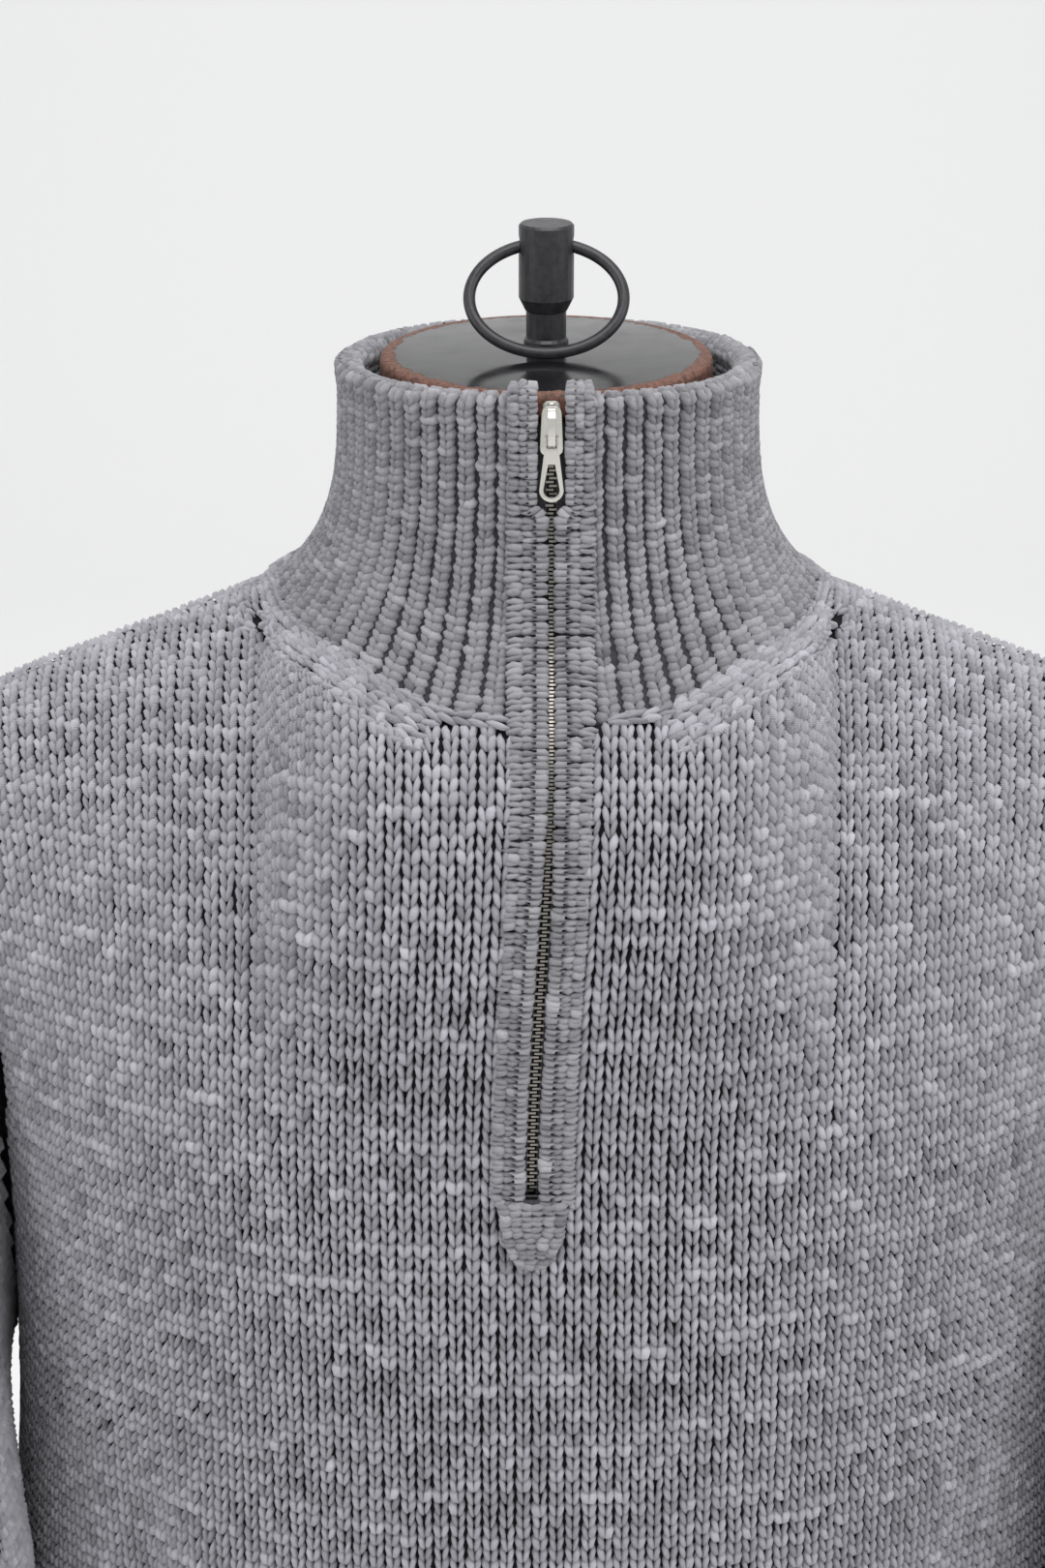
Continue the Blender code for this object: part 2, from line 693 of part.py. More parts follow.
def slit_edge(section, side):
    """A section squared up to the slit's straight edge."""
    moved = section.copy()
    moved[:, 0] = side * (SLIT + SEAM_GAP)
    return moved


collar_sections = [collar_section(a) for a in collar_angles()]
collar_sections[0] = slit_edge(collar_sections[0], 1)
collar_sections[-1] = slit_edge(collar_sections[-1], -1)
loft("collar", [leaning(s) for s in collar_sections], GREY_RIB)


# ---------------------------------------------------------------- the zip's bands and tapes

def centre_path(z_low, z_high, count):
    """The cloth's outer face down the middle of the front: points, and the direction outwards at each."""
    chest = np.array([upper_point(1e-6, t, -1) for t in np.linspace(0, 1, 15)])
    neck = np.array([collar_point(0.0, s) for s in np.linspace(0.06, 1.0, 16)])
    below = np.array([level_point(1e-6, z, -1) for z in np.linspace(BUST - 0.05, BUST - 0.005, 6)])
    whole = np.concatenate((below, chest, neck))
    z = np.linspace(z_low, z_high, count)
    y = np.interp(z, whole[:, 2], whole[:, 1])
    for _ in range(2):
        y[1:-1] = (y[:-2] + 2 * y[1:-1] + y[2:]) / 4
    points = np.stack((np.zeros(count), y, z), axis=1)
    up = unit(np.gradient(points, axis=0))
    return points, np.stack((np.zeros(count), -up[:, 2], up[:, 1]), axis=1)


def band_inner_edge(z):
    """Half of the gap between the bands: open round the slider, closed below it, slack further down."""
    slack = 0.0006 + 0.0010 * smooth((0.70 - z) / 0.10)
    beside_slider = smooth((z - 0.7705) / 0.006)
    return slack + (0.0043 - slack) * beside_slider


def make_band(name, side):
    """A puffy band, from the slit's lower end to the collar's top edge."""
    points, out = centre_path(BUST + SEAM_GAP, 0.8105, 30)
    sections = []
    for point, normal in zip(points, out):
        inner, outer = band_inner_edge(point[2]), SLIT - SEAM_GAP
        middle, half = (inner + outer) / 2, (outer - inner) / 2
        shape = [(1, 0.0), (0.86, 0.82), (0.35, 1.0), (-0.35, 1.0), (-0.86, 0.82), (-1, 0.0), (-0.8, -1.0), (0.8, -1.0)]
        section = []
        for across, deep in shape:
            lift = BAND_PROUD * deep if deep > 0 else BAND_DEPTH * deep
            section.append(point + np.array((side * (middle + half * across), 0, 0)) + normal * lift)
        sections.append(section)
    loft(name, leaning(np.array(sections)), BAND_KNIT)


def make_tape(name, side):
    """A woven tape behind a band."""
    points, out = centre_path(BUST + SEAM_GAP, 0.8105, 30)
    points, out = points[:28], out[:28]
    sections = []
    for point, normal in zip(points, out):
        corners = [(TAPE_EDGE, 0), (SLIT - 3 * SEAM_GAP, 0), (SLIT - 3 * SEAM_GAP, 1), (TAPE_EDGE, 1)]
        sections.append(
            [
                point + np.array((side * x, 0, 0)) - normal * (TAPE_FACE + deep * TAPE_THICKNESS)
                for x, deep in corners
            ]
        )
    loft(name, leaning(np.array(sections)), ZIP_TAPE)


make_band("zip_band_left", 1)
make_band("zip_band_right", -1)
make_tape("zip_tape_left", 1)
make_tape("zip_tape_right", -1)


def make_placket_end():
    """The pointed end where the bands are sewn down, lying on the front below the slit."""
    points, out = centre_path(BUST - 0.0230, BUST - SEAM_GAP, 6)
    sections = []
    for point, normal in zip(points, out):
        down = (BUST - point[2]) / 0.0230
        half = 0.0122 * math.sqrt(max(1 - (0.92 * down) ** 2.2, 0.0))
        shape = [(1, 0.1), (0.8, 0.8), (0.3, 1.0), (-0.3, 1.0), (-0.8, 0.8), (-1, 0.1)]
        top = [point + np.array((half * x, 0, 0)) + normal * (0.0006 + 0.0034 * deep) for x, deep in shape]
        base = [point + np.array((x * half, 0, 0)) + normal * 0.0005 for x in (-0.92, 0.92)]
        sections.append(top + base)
    loft("placket_end", leaning(np.array(sections)), BAND_KNIT)


make_placket_end()


# ---------------------------------------------------------------- the slider and its pull

def slider_frame():
    """The slider's own axes: x to the left side, y inwards and z up along the zip."""
    middle = SLIDER_TOP - SLIDER_LENGTH / 2
    points, out = centre_path(middle - 0.012, middle + 0.0085, 3)
    up = points[-1] - points[0]
    tilt = math.atan2(up[1], up[2])
    place = Vector((zip_x(middle), *points[1][1:]))
    return Matrix.Translation(place) @ Matrix.Rotation(-tilt, 4, "X")


SLIDER = slider_frame()


def block(bm, low, high, taper=1.0):
    """A box between two corners; taper narrows its upper end."""
    made = bmesh.ops.create_cube(bm, size=1.0)["verts"]
    size = [b - a for a, b in zip(low, high)]
    middle = [(a + b) / 2 for a, b in zip(low, high)]
    for vertex in made:
        upper = vertex.co.z > 0
        vertex.co = Vector([m + s * c for m, s, c in zip(middle, size, vertex.co)])
        if upper:
            vertex.co.x *= taper
    return made


def hidden_part(name, bm):
    """A shape that another object takes in by a Boolean."""
    ob = placed(name, bm, NICKEL)
    ob.matrix_world = SLIDER
    ob.hide_render = True
    ob.display_type = "WIRE"
    return ob


def plate(low, high, taper, corner):
    """A plate with rounded corners, seen from the front."""
    bm = bmesh.new()
    block(bm, low, high, taper)
    upright = [e for e in bm.edges if abs(e.verts[0].co.y - e.verts[1].co.y) > 0.0005]
    bmesh.ops.bevel(bm, geom=upright, offset=corner, segments=3, affect="EDGES", profile=0.5)
    return bm


def extruded(profile, half_width):
    """A side profile of (y, z) points, extruded across x."""
    bm = bmesh.new()
    near = [bm.verts.new((-half_width, y, z)) for y, z in profile]
    face = bm.faces.new(near)
    moved = bmesh.ops.extrude_face_region(bm, geom=[face])["geom"]
    bmesh.ops.translate(
        bm, verts=[g for g in moved if isinstance(g, bmesh.types.BMVert)], vec=(2 * half_width, 0, 0)
    )
    return bm


FRONT_PLATE = (-0.0005, 0.0008)  # its outer and inner faces, inwards from the cloth's outer face
BACK_PLATE = (0.0058, 0.0068)
CROWN_TOP = -0.0044
PULL_AXIS = (-0.0019, -0.0022)  # y and z in the slider's axes
half_length = SLIDER_LENGTH / 2

slider = placed(
    "zip_slider",
    plate((-0.0038, FRONT_PLATE[0], -half_length), (0.0038, FRONT_PLATE[1], half_length), 0.80, 0.0022),
    NICKEL,
)
slider.matrix_world = SLIDER

parts = [
    hidden_part(
        "slider_back_plate",
        plate((-0.0034, BACK_PLATE[0], -half_length), (0.0034, BACK_PLATE[1], half_length), 0.84, 0.0020),
    ),
    hidden_part(
        "slider_wedge",
        plate((-0.0009, FRONT_PLATE[1] - 0.0004, 0.0020), (0.0009, BACK_PLATE[0] + 0.0004, 0.0074), 1.0, 0.0004),
    ),
    hidden_part(
        "slider_crown",
        extruded(
            [
                (FRONT_PLATE[0] + 0.0004, 0.0072),
                (-0.0030, 0.0068),
                (CROWN_TOP, 0.0052),
                (CROWN_TOP, -0.0030),
                (-0.0036, -0.0046),
                (FRONT_PLATE[0] + 0.0004, -0.0048),
                (FRONT_PLATE[0] + 0.0004, -0.0034),
                (-0.0030, -0.0032),
                (-0.0031, 0.0046),
                (FRONT_PLATE[0] + 0.0004, 0.0050),
            ],
            0.0012,
        ),
    ),
]
for part in parts:
    join = slider.modifiers.new(part.name, "BOOLEAN")
    join.operation = "UNION"
    join.object = part


def teardrop(width_top, width_low, top, low, count=12):
    """The outline of the pull or of its hole, seen from the front: narrow above and round below."""
    points = [(-width_top, top), (width_top, top)]
    middle = low + width_low
    for k in range(count + 1):
        a = math.radians(15) - math.radians(210) * k / count
        points.append((width_low * math.cos(a), middle + width_low * math.sin(a)))
    return points


def outline_solid(points, near, far):
    """An outline in x and z, given its thickness along y."""
    bm = bmesh.new()
    face = bm.faces.new([bm.verts.new((x, near, z)) for x, z in points])
    moved = bmesh.ops.extrude_face_region(bm, geom=[face])["geom"]
    bmesh.ops.translate(bm, verts=[g for g in moved if isinstance(g, bmesh.types.BMVert)], vec=(0, far - near, 0))
    return bm


def make_pull():
    """The pull tab. Its eye goes round the crown's lower end, and it turns on its own crossbar."""
    axis_y, axis_z = PULL_AXIS
    home = SLIDER @ Matrix.Translation((0, axis_y, axis_z))
    thick = 0.0006
    tab = placed("zip_pull", outline_solid(teardrop(0.0022, 0.0039, -0.0030, -0.0205), -thick, thick), NICKEL)
    tab.matrix_world = home
    bars = []
    for side in (-1, 1):
        bm = bmesh.new()
        block(bm, (side * 0.0020 - 0.00035, -thick, -0.0040), (side * 0.0020 + 0.00035, thick, 0.00055))
        bars.append(("pull_arm_%d" % (side + 1), bm))
    bm = bmesh.new()
    block(bm, (-0.0021, -0.00055, -0.00055), (0.0021, 0.00055, 0.0005))
    bars.append(("pull_crossbar", bm))
    for name, bm in bars:
        helper = hidden_part(name, bm)
        helper.matrix_world = home
        join = tab.modifiers.new(name, "BOOLEAN")
        join.operation = "UNION"
        join.object = helper
    hole = hidden_part(
        "pull_hole", outline_solid(teardrop(0.0011, 0.0026, -0.0082, -0.0192), -4 * thick, 4 * thick)
    )
    hole.matrix_world = home
    opening = tab.modifiers.new("hole", "BOOLEAN")
    opening.operation = "DIFFERENCE"
    opening.object = hole


make_pull()
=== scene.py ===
"""A chunky quarter zip sweater on a limbless tabletop form: its looks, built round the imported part."""

import math

import bpy
import numpy as np
from mathutils.bvhtree import BVHTree
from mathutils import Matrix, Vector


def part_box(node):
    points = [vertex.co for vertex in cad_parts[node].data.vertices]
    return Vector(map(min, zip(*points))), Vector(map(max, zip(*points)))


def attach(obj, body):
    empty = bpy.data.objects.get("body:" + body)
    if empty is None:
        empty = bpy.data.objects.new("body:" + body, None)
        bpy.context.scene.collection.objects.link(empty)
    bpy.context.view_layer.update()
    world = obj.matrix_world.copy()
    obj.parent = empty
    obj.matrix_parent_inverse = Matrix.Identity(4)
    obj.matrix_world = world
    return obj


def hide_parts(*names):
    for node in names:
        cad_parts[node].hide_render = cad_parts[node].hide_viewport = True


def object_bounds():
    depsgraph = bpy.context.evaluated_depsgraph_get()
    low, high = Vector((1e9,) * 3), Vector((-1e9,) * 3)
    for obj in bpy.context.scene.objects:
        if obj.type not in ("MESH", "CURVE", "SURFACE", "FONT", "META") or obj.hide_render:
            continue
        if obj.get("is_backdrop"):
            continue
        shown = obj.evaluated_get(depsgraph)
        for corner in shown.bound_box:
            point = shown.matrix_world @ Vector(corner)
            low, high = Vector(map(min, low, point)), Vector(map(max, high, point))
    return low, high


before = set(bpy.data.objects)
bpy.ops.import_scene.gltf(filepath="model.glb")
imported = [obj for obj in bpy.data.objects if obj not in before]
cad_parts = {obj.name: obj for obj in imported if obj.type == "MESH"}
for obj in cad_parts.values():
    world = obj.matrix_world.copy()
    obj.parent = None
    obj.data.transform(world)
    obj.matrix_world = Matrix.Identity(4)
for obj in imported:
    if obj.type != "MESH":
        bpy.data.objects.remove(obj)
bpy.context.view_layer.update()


# ---------------------------------------------------------------- studio
# A seamless sheet of off-white paper that curves up behind a low plinth, lit by big soft boxes:
# one high in front, one from each side, and a white room all round.

MM = 0.001


def linear(code):
    """An sRGB hex colour as linear light."""
    parts = [int(code[i : i + 2], 16) / 255 for i in (0, 2, 4)]
    return (*[c / 12.92 if c <= 0.04045 else ((c + 0.055) / 1.055) ** 2.4 for c in parts], 1.0)


def new_material(name, **sockets):
    """A material, its node tree and its shader, with some of the shader's sockets set."""
    material = bpy.data.materials.new(name)
    material.use_nodes = True
    shader = material.node_tree.nodes["Principled BSDF"]
    for socket, value in sockets.items():
        shader.inputs[socket.replace("_", " ")].default_value = value
    return material, material.node_tree, shader


def added(tree, kind, values=None, links=None, **settings):
    """A new node with its settings, the values of its sockets and what is linked to them."""
    node = tree.nodes.new("ShaderNode" + kind)
    for setting, value in settings.items():
        setattr(node, setting, value)
    for socket, value in (values or {}).items():
        node.inputs[socket].default_value = value
    for socket, source in (links or {}).items():
        tree.links.new(source, node.inputs[socket])
    return node


def noise(tree, place, size, detail=2.0, roughness=0.5):
    """Noise on the object's own coordinates, with features of a size in metres."""
    values = {"Scale": 1 / size, "Detail": detail, "Roughness": roughness}
    return added(tree, "TexNoise", values, {"Vector": place.outputs["Object"]}).outputs["Fac"]


def spanned(tree, source, low, high, to_low, to_high):
    """A source's values from low to high, spread over another range."""
    values = {"From Min": low, "From Max": high, "To Min": to_low, "To Max": to_high}
    return added(tree, "MapRange", values, {"Value": source}).outputs["Result"]


def relief(tree, shader, height, strength, depth):
    """Fine relief on a material's surface, of a depth in metres."""
    bump = added(tree, "Bump", {"Strength": strength, "Distance": depth}, {"Height": height})
    tree.links.new(bump.outputs["Normal"], shader.inputs["Normal"])


def finish_mesh(name, points, faces, material, uv=None, tone=None, smooth=True):
    """An object of these points and faces; uv and tone are given for each point."""
    mesh = bpy.data.meshes.new(name)
    faces = np.asarray(faces, dtype=np.int32)
    mesh.vertices.add(len(points))
    mesh.vertices.foreach_set("co", np.asarray(points, dtype=np.float32).ravel())
    mesh.loops.add(faces.size)
    mesh.loops.foreach_set("vertex_index", faces.ravel())
    mesh.polygons.add(len(faces))
    mesh.polygons.foreach_set("loop_start", np.arange(len(faces), dtype=np.int32) * faces.shape[1])
    if uv is not None:
        layer = mesh.uv_layers.new(name="yarn")
        layer.data.foreach_set("uv", np.asarray(uv, dtype=np.float32)[faces.ravel()].ravel())
    if tone is not None:
        layer = mesh.attributes.new("tone", "FLOAT", "POINT")
        layer.data.foreach_set("value", np.asarray(tone, dtype=np.float32))
    mesh.update(calc_edges=True)
    mesh.polygons.foreach_set("use_smooth", np.full(len(faces), smooth))
    mesh.materials.append(material)
    piece = bpy.data.objects.new(name, mesh)
    bpy.context.collection.objects.link(piece)
    return piece


PAPER_DEPTH = 3.6  # how far behind the form the paper curves up
PAPER_BEND = 1.4
paper_matte, _, _ = new_material("seamless paper", Base_Color=linear("e4e4e3"), Roughness=0.9)
bend_angles = np.radians(np.linspace(0, 90, 19))
profile = [(-4.0, 0.0), (PAPER_DEPTH - PAPER_BEND, 0.0)]
profile += [
    (PAPER_DEPTH - PAPER_BEND + PAPER_BEND * math.sin(a), PAPER_BEND * (1 - math.cos(a))) for a in bend_angles
]
profile.append((PAPER_DEPTH, 4.5))
paper_points = [(x, y, z - 0.0005) for y, z in profile for x in (-4.5, 4.5)]
paper_faces = [(2 * k, 2 * k + 1, 2 * k + 3, 2 * k + 2) for k in range(len(profile) - 1)]
paper = finish_mesh("paper", paper_points, paper_faces, paper_matte)
paper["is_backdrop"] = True

world = bpy.data.worlds.new("white room")
bpy.context.scene.world = world
world.use_nodes = True
world.node_tree.nodes["Background"].inputs["Color"].default_value = linear("f6f7f9")
world.node_tree.nodes["Background"].inputs["Strength"].default_value = 0.77


def soft_box(name, place, target, width, height, watts, tint="ffffff"):
    """A rectangular soft box that points at a target."""
    data = bpy.data.lights.new(name, "AREA")
    data.shape = "RECTANGLE"
    data.size, data.size_y = width, height
    data.energy = watts
    data.color = linear(tint)[:3]
    lamp = bpy.data.objects.new(name, data)
    bpy.context.collection.objects.link(lamp)
    lamp.location = place
    aim = bpy.data.objects.new(name + "_aim", None)
    aim.location = target
    direction = aim.location - lamp.location
    lamp.rotation_euler = direction.to_track_quat("-Z", "Y").to_euler()
    bpy.data.objects.remove(aim)


CHEST = (0.0, -0.05, 0.68)
soft_box("overhead_box", (0.15, -0.55, 2.35), CHEST, 1.5, 1.2, 22.0)
soft_box("left_box", (1.9, -1.2, 1.5), CHEST, 1.2, 1.4, 13.0)
soft_box("right_box", (-1.9, -1.0, 1.3), CHEST, 1.2, 1.4, 9.0)
soft_box("paper_light", (0.0, 1.5, 3.4), (0.0, 3.0, 0.6), 3.0, 0.8, 30.0)

eye = bpy.data.cameras.new("camera")
eye.lens = 70
eye.sensor_width = 36
camera = bpy.data.objects.new("camera", eye)
bpy.context.collection.objects.link(camera)
camera.location = (-0.008, -1.0056, 1.0565)
camera.rotation_euler = (math.radians(68), 0.0, 0.0)
bpy.context.scene.camera = camera
bpy.context.scene.view_settings.view_transform = "Standard"


# ---------------------------------------------------------------- knitted cloth
# The sweater is knitted from one chunky cotton and wool slub yarn, loosely spun with thick and thin
# stretches. These are the yarn, the stitches and the ways that cloth is covered with them.

WALE = 5.6 * MM  # from one column of stitches to the next
COURSE = 4.6 * MM  # from one row to the next


def smoothed(t):
    t = np.clip(t, 0.0, 1.0)
    return t * t * (3.0 - 2.0 * t)


def unit(vectors):
    return vectors / np.maximum(np.linalg.norm(vectors, axis=-1, keepdims=True), 1e-9)


def slub_yarn(name, dark, light):
    """Matte, fuzzy yarn: each stitch has its own tone, with fine twisted fibres along it."""
    material, tree, shader = new_material(name, Roughness=0.95)
    shader.inputs["Specular IOR Level"].default_value = 0.18
    shader.inputs["Sheen Weight"].default_value = 0.35
    shader.inputs["Sheen Roughness"].default_value = 0.55
    shader.inputs["Sheen Tint"].default_value = linear("d8d8e0")
    tone = added(tree, "Attribute", attribute_name="tone")
    place = added(tree, "TexCoord")
    cloudy = noise(tree, place, 45 * MM)
    fibre_map = added(tree, "UVMap", uv_map="yarn").outputs["UV"]
    drawn_out = {"Scale": (5.0, 1.6, 1.0), "Rotation": (0, 0, 0.45)}
    stretched = added(tree, "Mapping", drawn_out, {"Vector": fibre_map}).outputs["Vector"]
    fuzz = {"Scale": 1.7, "Detail": 4.0, "Roughness": 0.7}
    fibres = added(tree, "TexNoise", fuzz, {"Vector": stretched}).outputs["Fac"]
    clouds = added(tree, "Math", {1: 0.22}, {0: cloudy}, operation="MULTIPLY")
    streaks = added(tree, "Math", {1: 0.55}, {0: fibres}, operation="MULTIPLY")
    both = added(tree, "Math", {}, {0: clouds.outputs[0], 1: streaks.outputs[0]}, operation="ADD")
    moved = added(tree, "Math", {1: -0.385}, {0: both.outputs[0]}, operation="ADD")
    mixed = added(tree, "Math", {}, {0: moved.outputs[0], 1: tone.outputs["Fac"]}, operation="ADD")
    ramp = added(tree, "ValToRGB", {}, {"Fac": mixed.outputs[0]})
    ramp.color_ramp.elements[0].color = linear(dark)
    ramp.color_ramp.elements[1].color = linear(light)
    tree.links.new(ramp.outputs["Color"], shader.inputs["Base Color"])
    turned = added(tree, "Mapping", {"Rotation": (0, 0, 0.9)}, {"Vector": fibre_map}).outputs["Vector"]
    plies = {"Scale": 2.1, "Distortion": 2.2, "Detail": 2.0, "Detail Scale": 2.0}
    ply = added(tree, "TexWave", plies, {"Vector": turned})
    rough = added(tree, "Math", {1: 0.55}, {0: fibres}, operation="MULTIPLY")
    height = added(tree, "Math", {}, {0: rough.outputs[0], 1: ply.outputs["Fac"]}, operation="ADD")
    relief(tree, shader, height.outputs[0], 0.55, 0.5 * MM)
    return material


grey_slub = slub_yarn("grey cotton and wool slub yarn", "6b6a6f", "c4c3c9")
rib_slub = slub_yarn("grey slub yarn in rib", "5f5e62", "b4b3b7")


def ground_cloth(name, colour, course):
    """The cloth between and behind the stitches: dark, with the loops of the purl side across it."""
    material, tree, shader = new_material(name, Base_Color=linear(colour), Roughness=0.97)
    shader.inputs["Specular IOR Level"].default_value = 0.1
    rows = added(tree, "UVMap", uv_map="yarn").outputs["UV"]
    wave = {"Scale": 1 / (3.1416 * 2 * course), "Distortion": 1.5, "Detail": 2.0}
    loops = added(tree, "TexWave", wave, {"Vector": rows}, bands_direction="Y")
    relief(tree, shader, loops.outputs["Fac"], 0.8, 0.8 * MM)
    return material


# The dark colours of these two grounds are painted shade: the shade in the gaps between the stitches and in
# the rib's valleys.
knit_ground = ground_cloth("shaded back of the knit", "232325", COURSE)
rib_ground = ground_cloth("shaded valleys of the rib", "434347", 2.4 * MM)
purl_side = ground_cloth("purl side of the knit", "77767b", COURSE)

# One leg of a stitch, from its lower end, which lies on top, to its upper end, which goes under the
# next row: place up the row, place out from the stitch's middle, half width, and height in mm.
FINE_LEG = (
    (-0.28, 0.085, 0.070, -0.80),
    (0.16, 0.175, 0.205, 0.68),
    (0.68, 0.280, 0.205, 0.62),
    (1.20, 0.290, 0.070, -1.50),
)
PLAIN_LEG = ((-0.26, 0.09, 0.07, -0.60), (0.40, 0.24, 0.24, 0.80), (1.16, 0.29, 0.08, -1.20))
ROUND = ((-1.0, -2.30), (-0.60, -0.28), (0.60, -0.28), (1.0, -2.30))  # across a leg, and mm below its crest
RIDGE = ((-1.0, -2.00), (0.0, 0.0), (1.0, -2.00))

dice = np.random.default_rng(7)


def slubs(columns, rows):
    """How thick the yarn is at each stitch: it changes slowly along a row, with some short thick slubs."""
    steps = dice.normal(0, 1, (rows, columns + 2))
    thick = 1.0 + 0.055 * (steps[:, :-2] + steps[:, 1:-1] + steps[:, 2:])
    for row in range(rows):
        for _ in range(max(1, columns // 20)):
            at = dice.integers(0, columns)
            thick[row, at : at + dice.integers(1, 3)] += dice.uniform(0.10, 0.26)
    return np.clip(thick, 0.68, 1.4)


def stitched(name, frames, leg, across, material, pointed=False):
    """Stitches as one joined mesh. frames is (middle, right, up, out, thickness) for each stitch.

    A pointed leg has three stations, and its first and last are single points.
    """
    middle, right, up, out, thick = frames
    count = len(middle)
    points, uvs, tones, faces = [], [], [], []
    leg, across = np.array(leg), np.array(across)
    stations, width = len(leg), len(across)
    jitter = dice.normal(0, 1, (2, count, 4))
    slub = dice.uniform(0.18, 0.5, (2, count)) * (dice.random((2, count)) < 0.085)
    stitch_tone = np.clip(0.50 + 0.085 * dice.normal(0, 1, count) + 0.45 * (thick - 1.0), 0.05, 0.95)
    quads = []
    for i in range(stations - 1):
        for j in range(width - 1):
            k = i * width + j
            quads.append((k, k + 1, k + width + 1, k + width))
    quads = np.array(quads)
    kept = np.arange(stations * width)
    if pointed:
        kept = np.array((1, 3, 4, 5, 7))
        quads = np.array(((0, 2, 1), (0, 3, 2), (2, 3, 4), (2, 4, 1)))
    for number, side in enumerate((-1, 1)):
        wild = jitter[number]
        v = leg[:, 0][None, :, None] + 0.055 * wild[:, 0][:, None, None]
        centre = leg[:, 1][None, :, None] + 0.026 * wild[:, 1][:, None, None]
        size = (thick * (1 + 0.085 * wild[:, 2]) + slub[number])[:, None, None]
        u = side * centre + across[:, 0][None, None, :] * leg[:, 2][None, :, None] * size
        high = (leg[:, 3][None, :, None] * size + across[:, 1][None, None, :] * (0.6 + 0.4 * size)) * MM
        v = np.broadcast_to(v, u.shape)
        place = (
            middle[:, None, None]
            + u[..., None] * right[:, None, None]
            + v[..., None] * up[:, None, None]
            + high[..., None] * out[:, None, None]
        )
        points.append(place.reshape(count, -1, 3)[:, kept].reshape(-1, 3))
        shift = dice.uniform(0, 40, (count, 2))
        grid = np.stack(np.broadcast_arrays(across[:, 0][None, :] * 0.5, leg[:, 0][:, None] * 1.4), axis=-1)
        mirrored = grid * np.array((side, 1.0))
        uvs.append((mirrored[None] + shift[:, None, None]).reshape(count, -1, 2)[:, kept].reshape(-1, 2))
        leg_tone = np.clip(stitch_tone + 0.07 * wild[:, 3] + 0.35 * slub[number], 0, 1)
        tones.append(np.repeat(leg_tone, len(kept)))
        base = (number * count + np.arange(count))[:, None, None] * len(kept)
        made = (quads[None] + base).reshape(-1, quads.shape[1])
        faces.append(made)
    points, faces, uvs, tones = [np.concatenate(part) for part in (points, faces, uvs, tones)]
    return finish_mesh(name, points, faces, material, uvs, tones)


def run_along(path):
    """How far each point of a path is from its first, along the path."""
    return np.concatenate(([0.0], np.cumsum(np.linalg.norm(np.diff(path, axis=0), axis=1))))


def spline(p, t):
    """A smooth curve through four values, t going from 0 at the second to 1 at the third."""
    bend = 2 * p[0] - 5 * p[1] + 4 * p[2] - p[3] + t * (3 * (p[1] - p[2]) + p[3] - p[0])
    return p[1] + 0.5 * t * (p[2] - p[0] + t * bend)


def cubic(values, at):
    """Rows of values read at fractional places, on a smooth curve."""
    last = len(values) - 1
    i = np.clip(np.floor(at).astype(int), 0, last - 1)
    t = (at - i).reshape((-1,) + (1,) * (values.ndim - 1))
    return spline([values[np.clip(i + k, 0, last)] for k in (-1, 0, 1, 2)], t)


def on_grid(grid, a, b):
    """Points of a grid at fractional columns a and rows b."""
    rows, columns = grid.shape[:2]
    i = np.clip(np.floor(b).astype(int), 0, rows - 2)
    j = np.clip(np.floor(a).astype(int), 0, columns - 2)
    lines = []
    for k in (-1, 0, 1, 2):
        row = np.clip(i + k, 0, rows - 1)
        near = [grid[row, np.clip(j + m, 0, columns - 1)] for m in (-1, 0, 1, 2)]
        lines.append(spline(near, (a - j)[..., None]))
    return spline(lines, (b - i)[..., None])


def directions_on(grid, a, b):
    """The directions to the right, up and outwards at places on a grid."""
    right = unit(on_grid(grid, a + 0.5, b) - on_grid(grid, a - 0.5, b))
    up = unit(on_grid(grid, a, b + 0.5) - on_grid(grid, a, b - 0.5))
    return right, up, unit(np.cross(right, up))


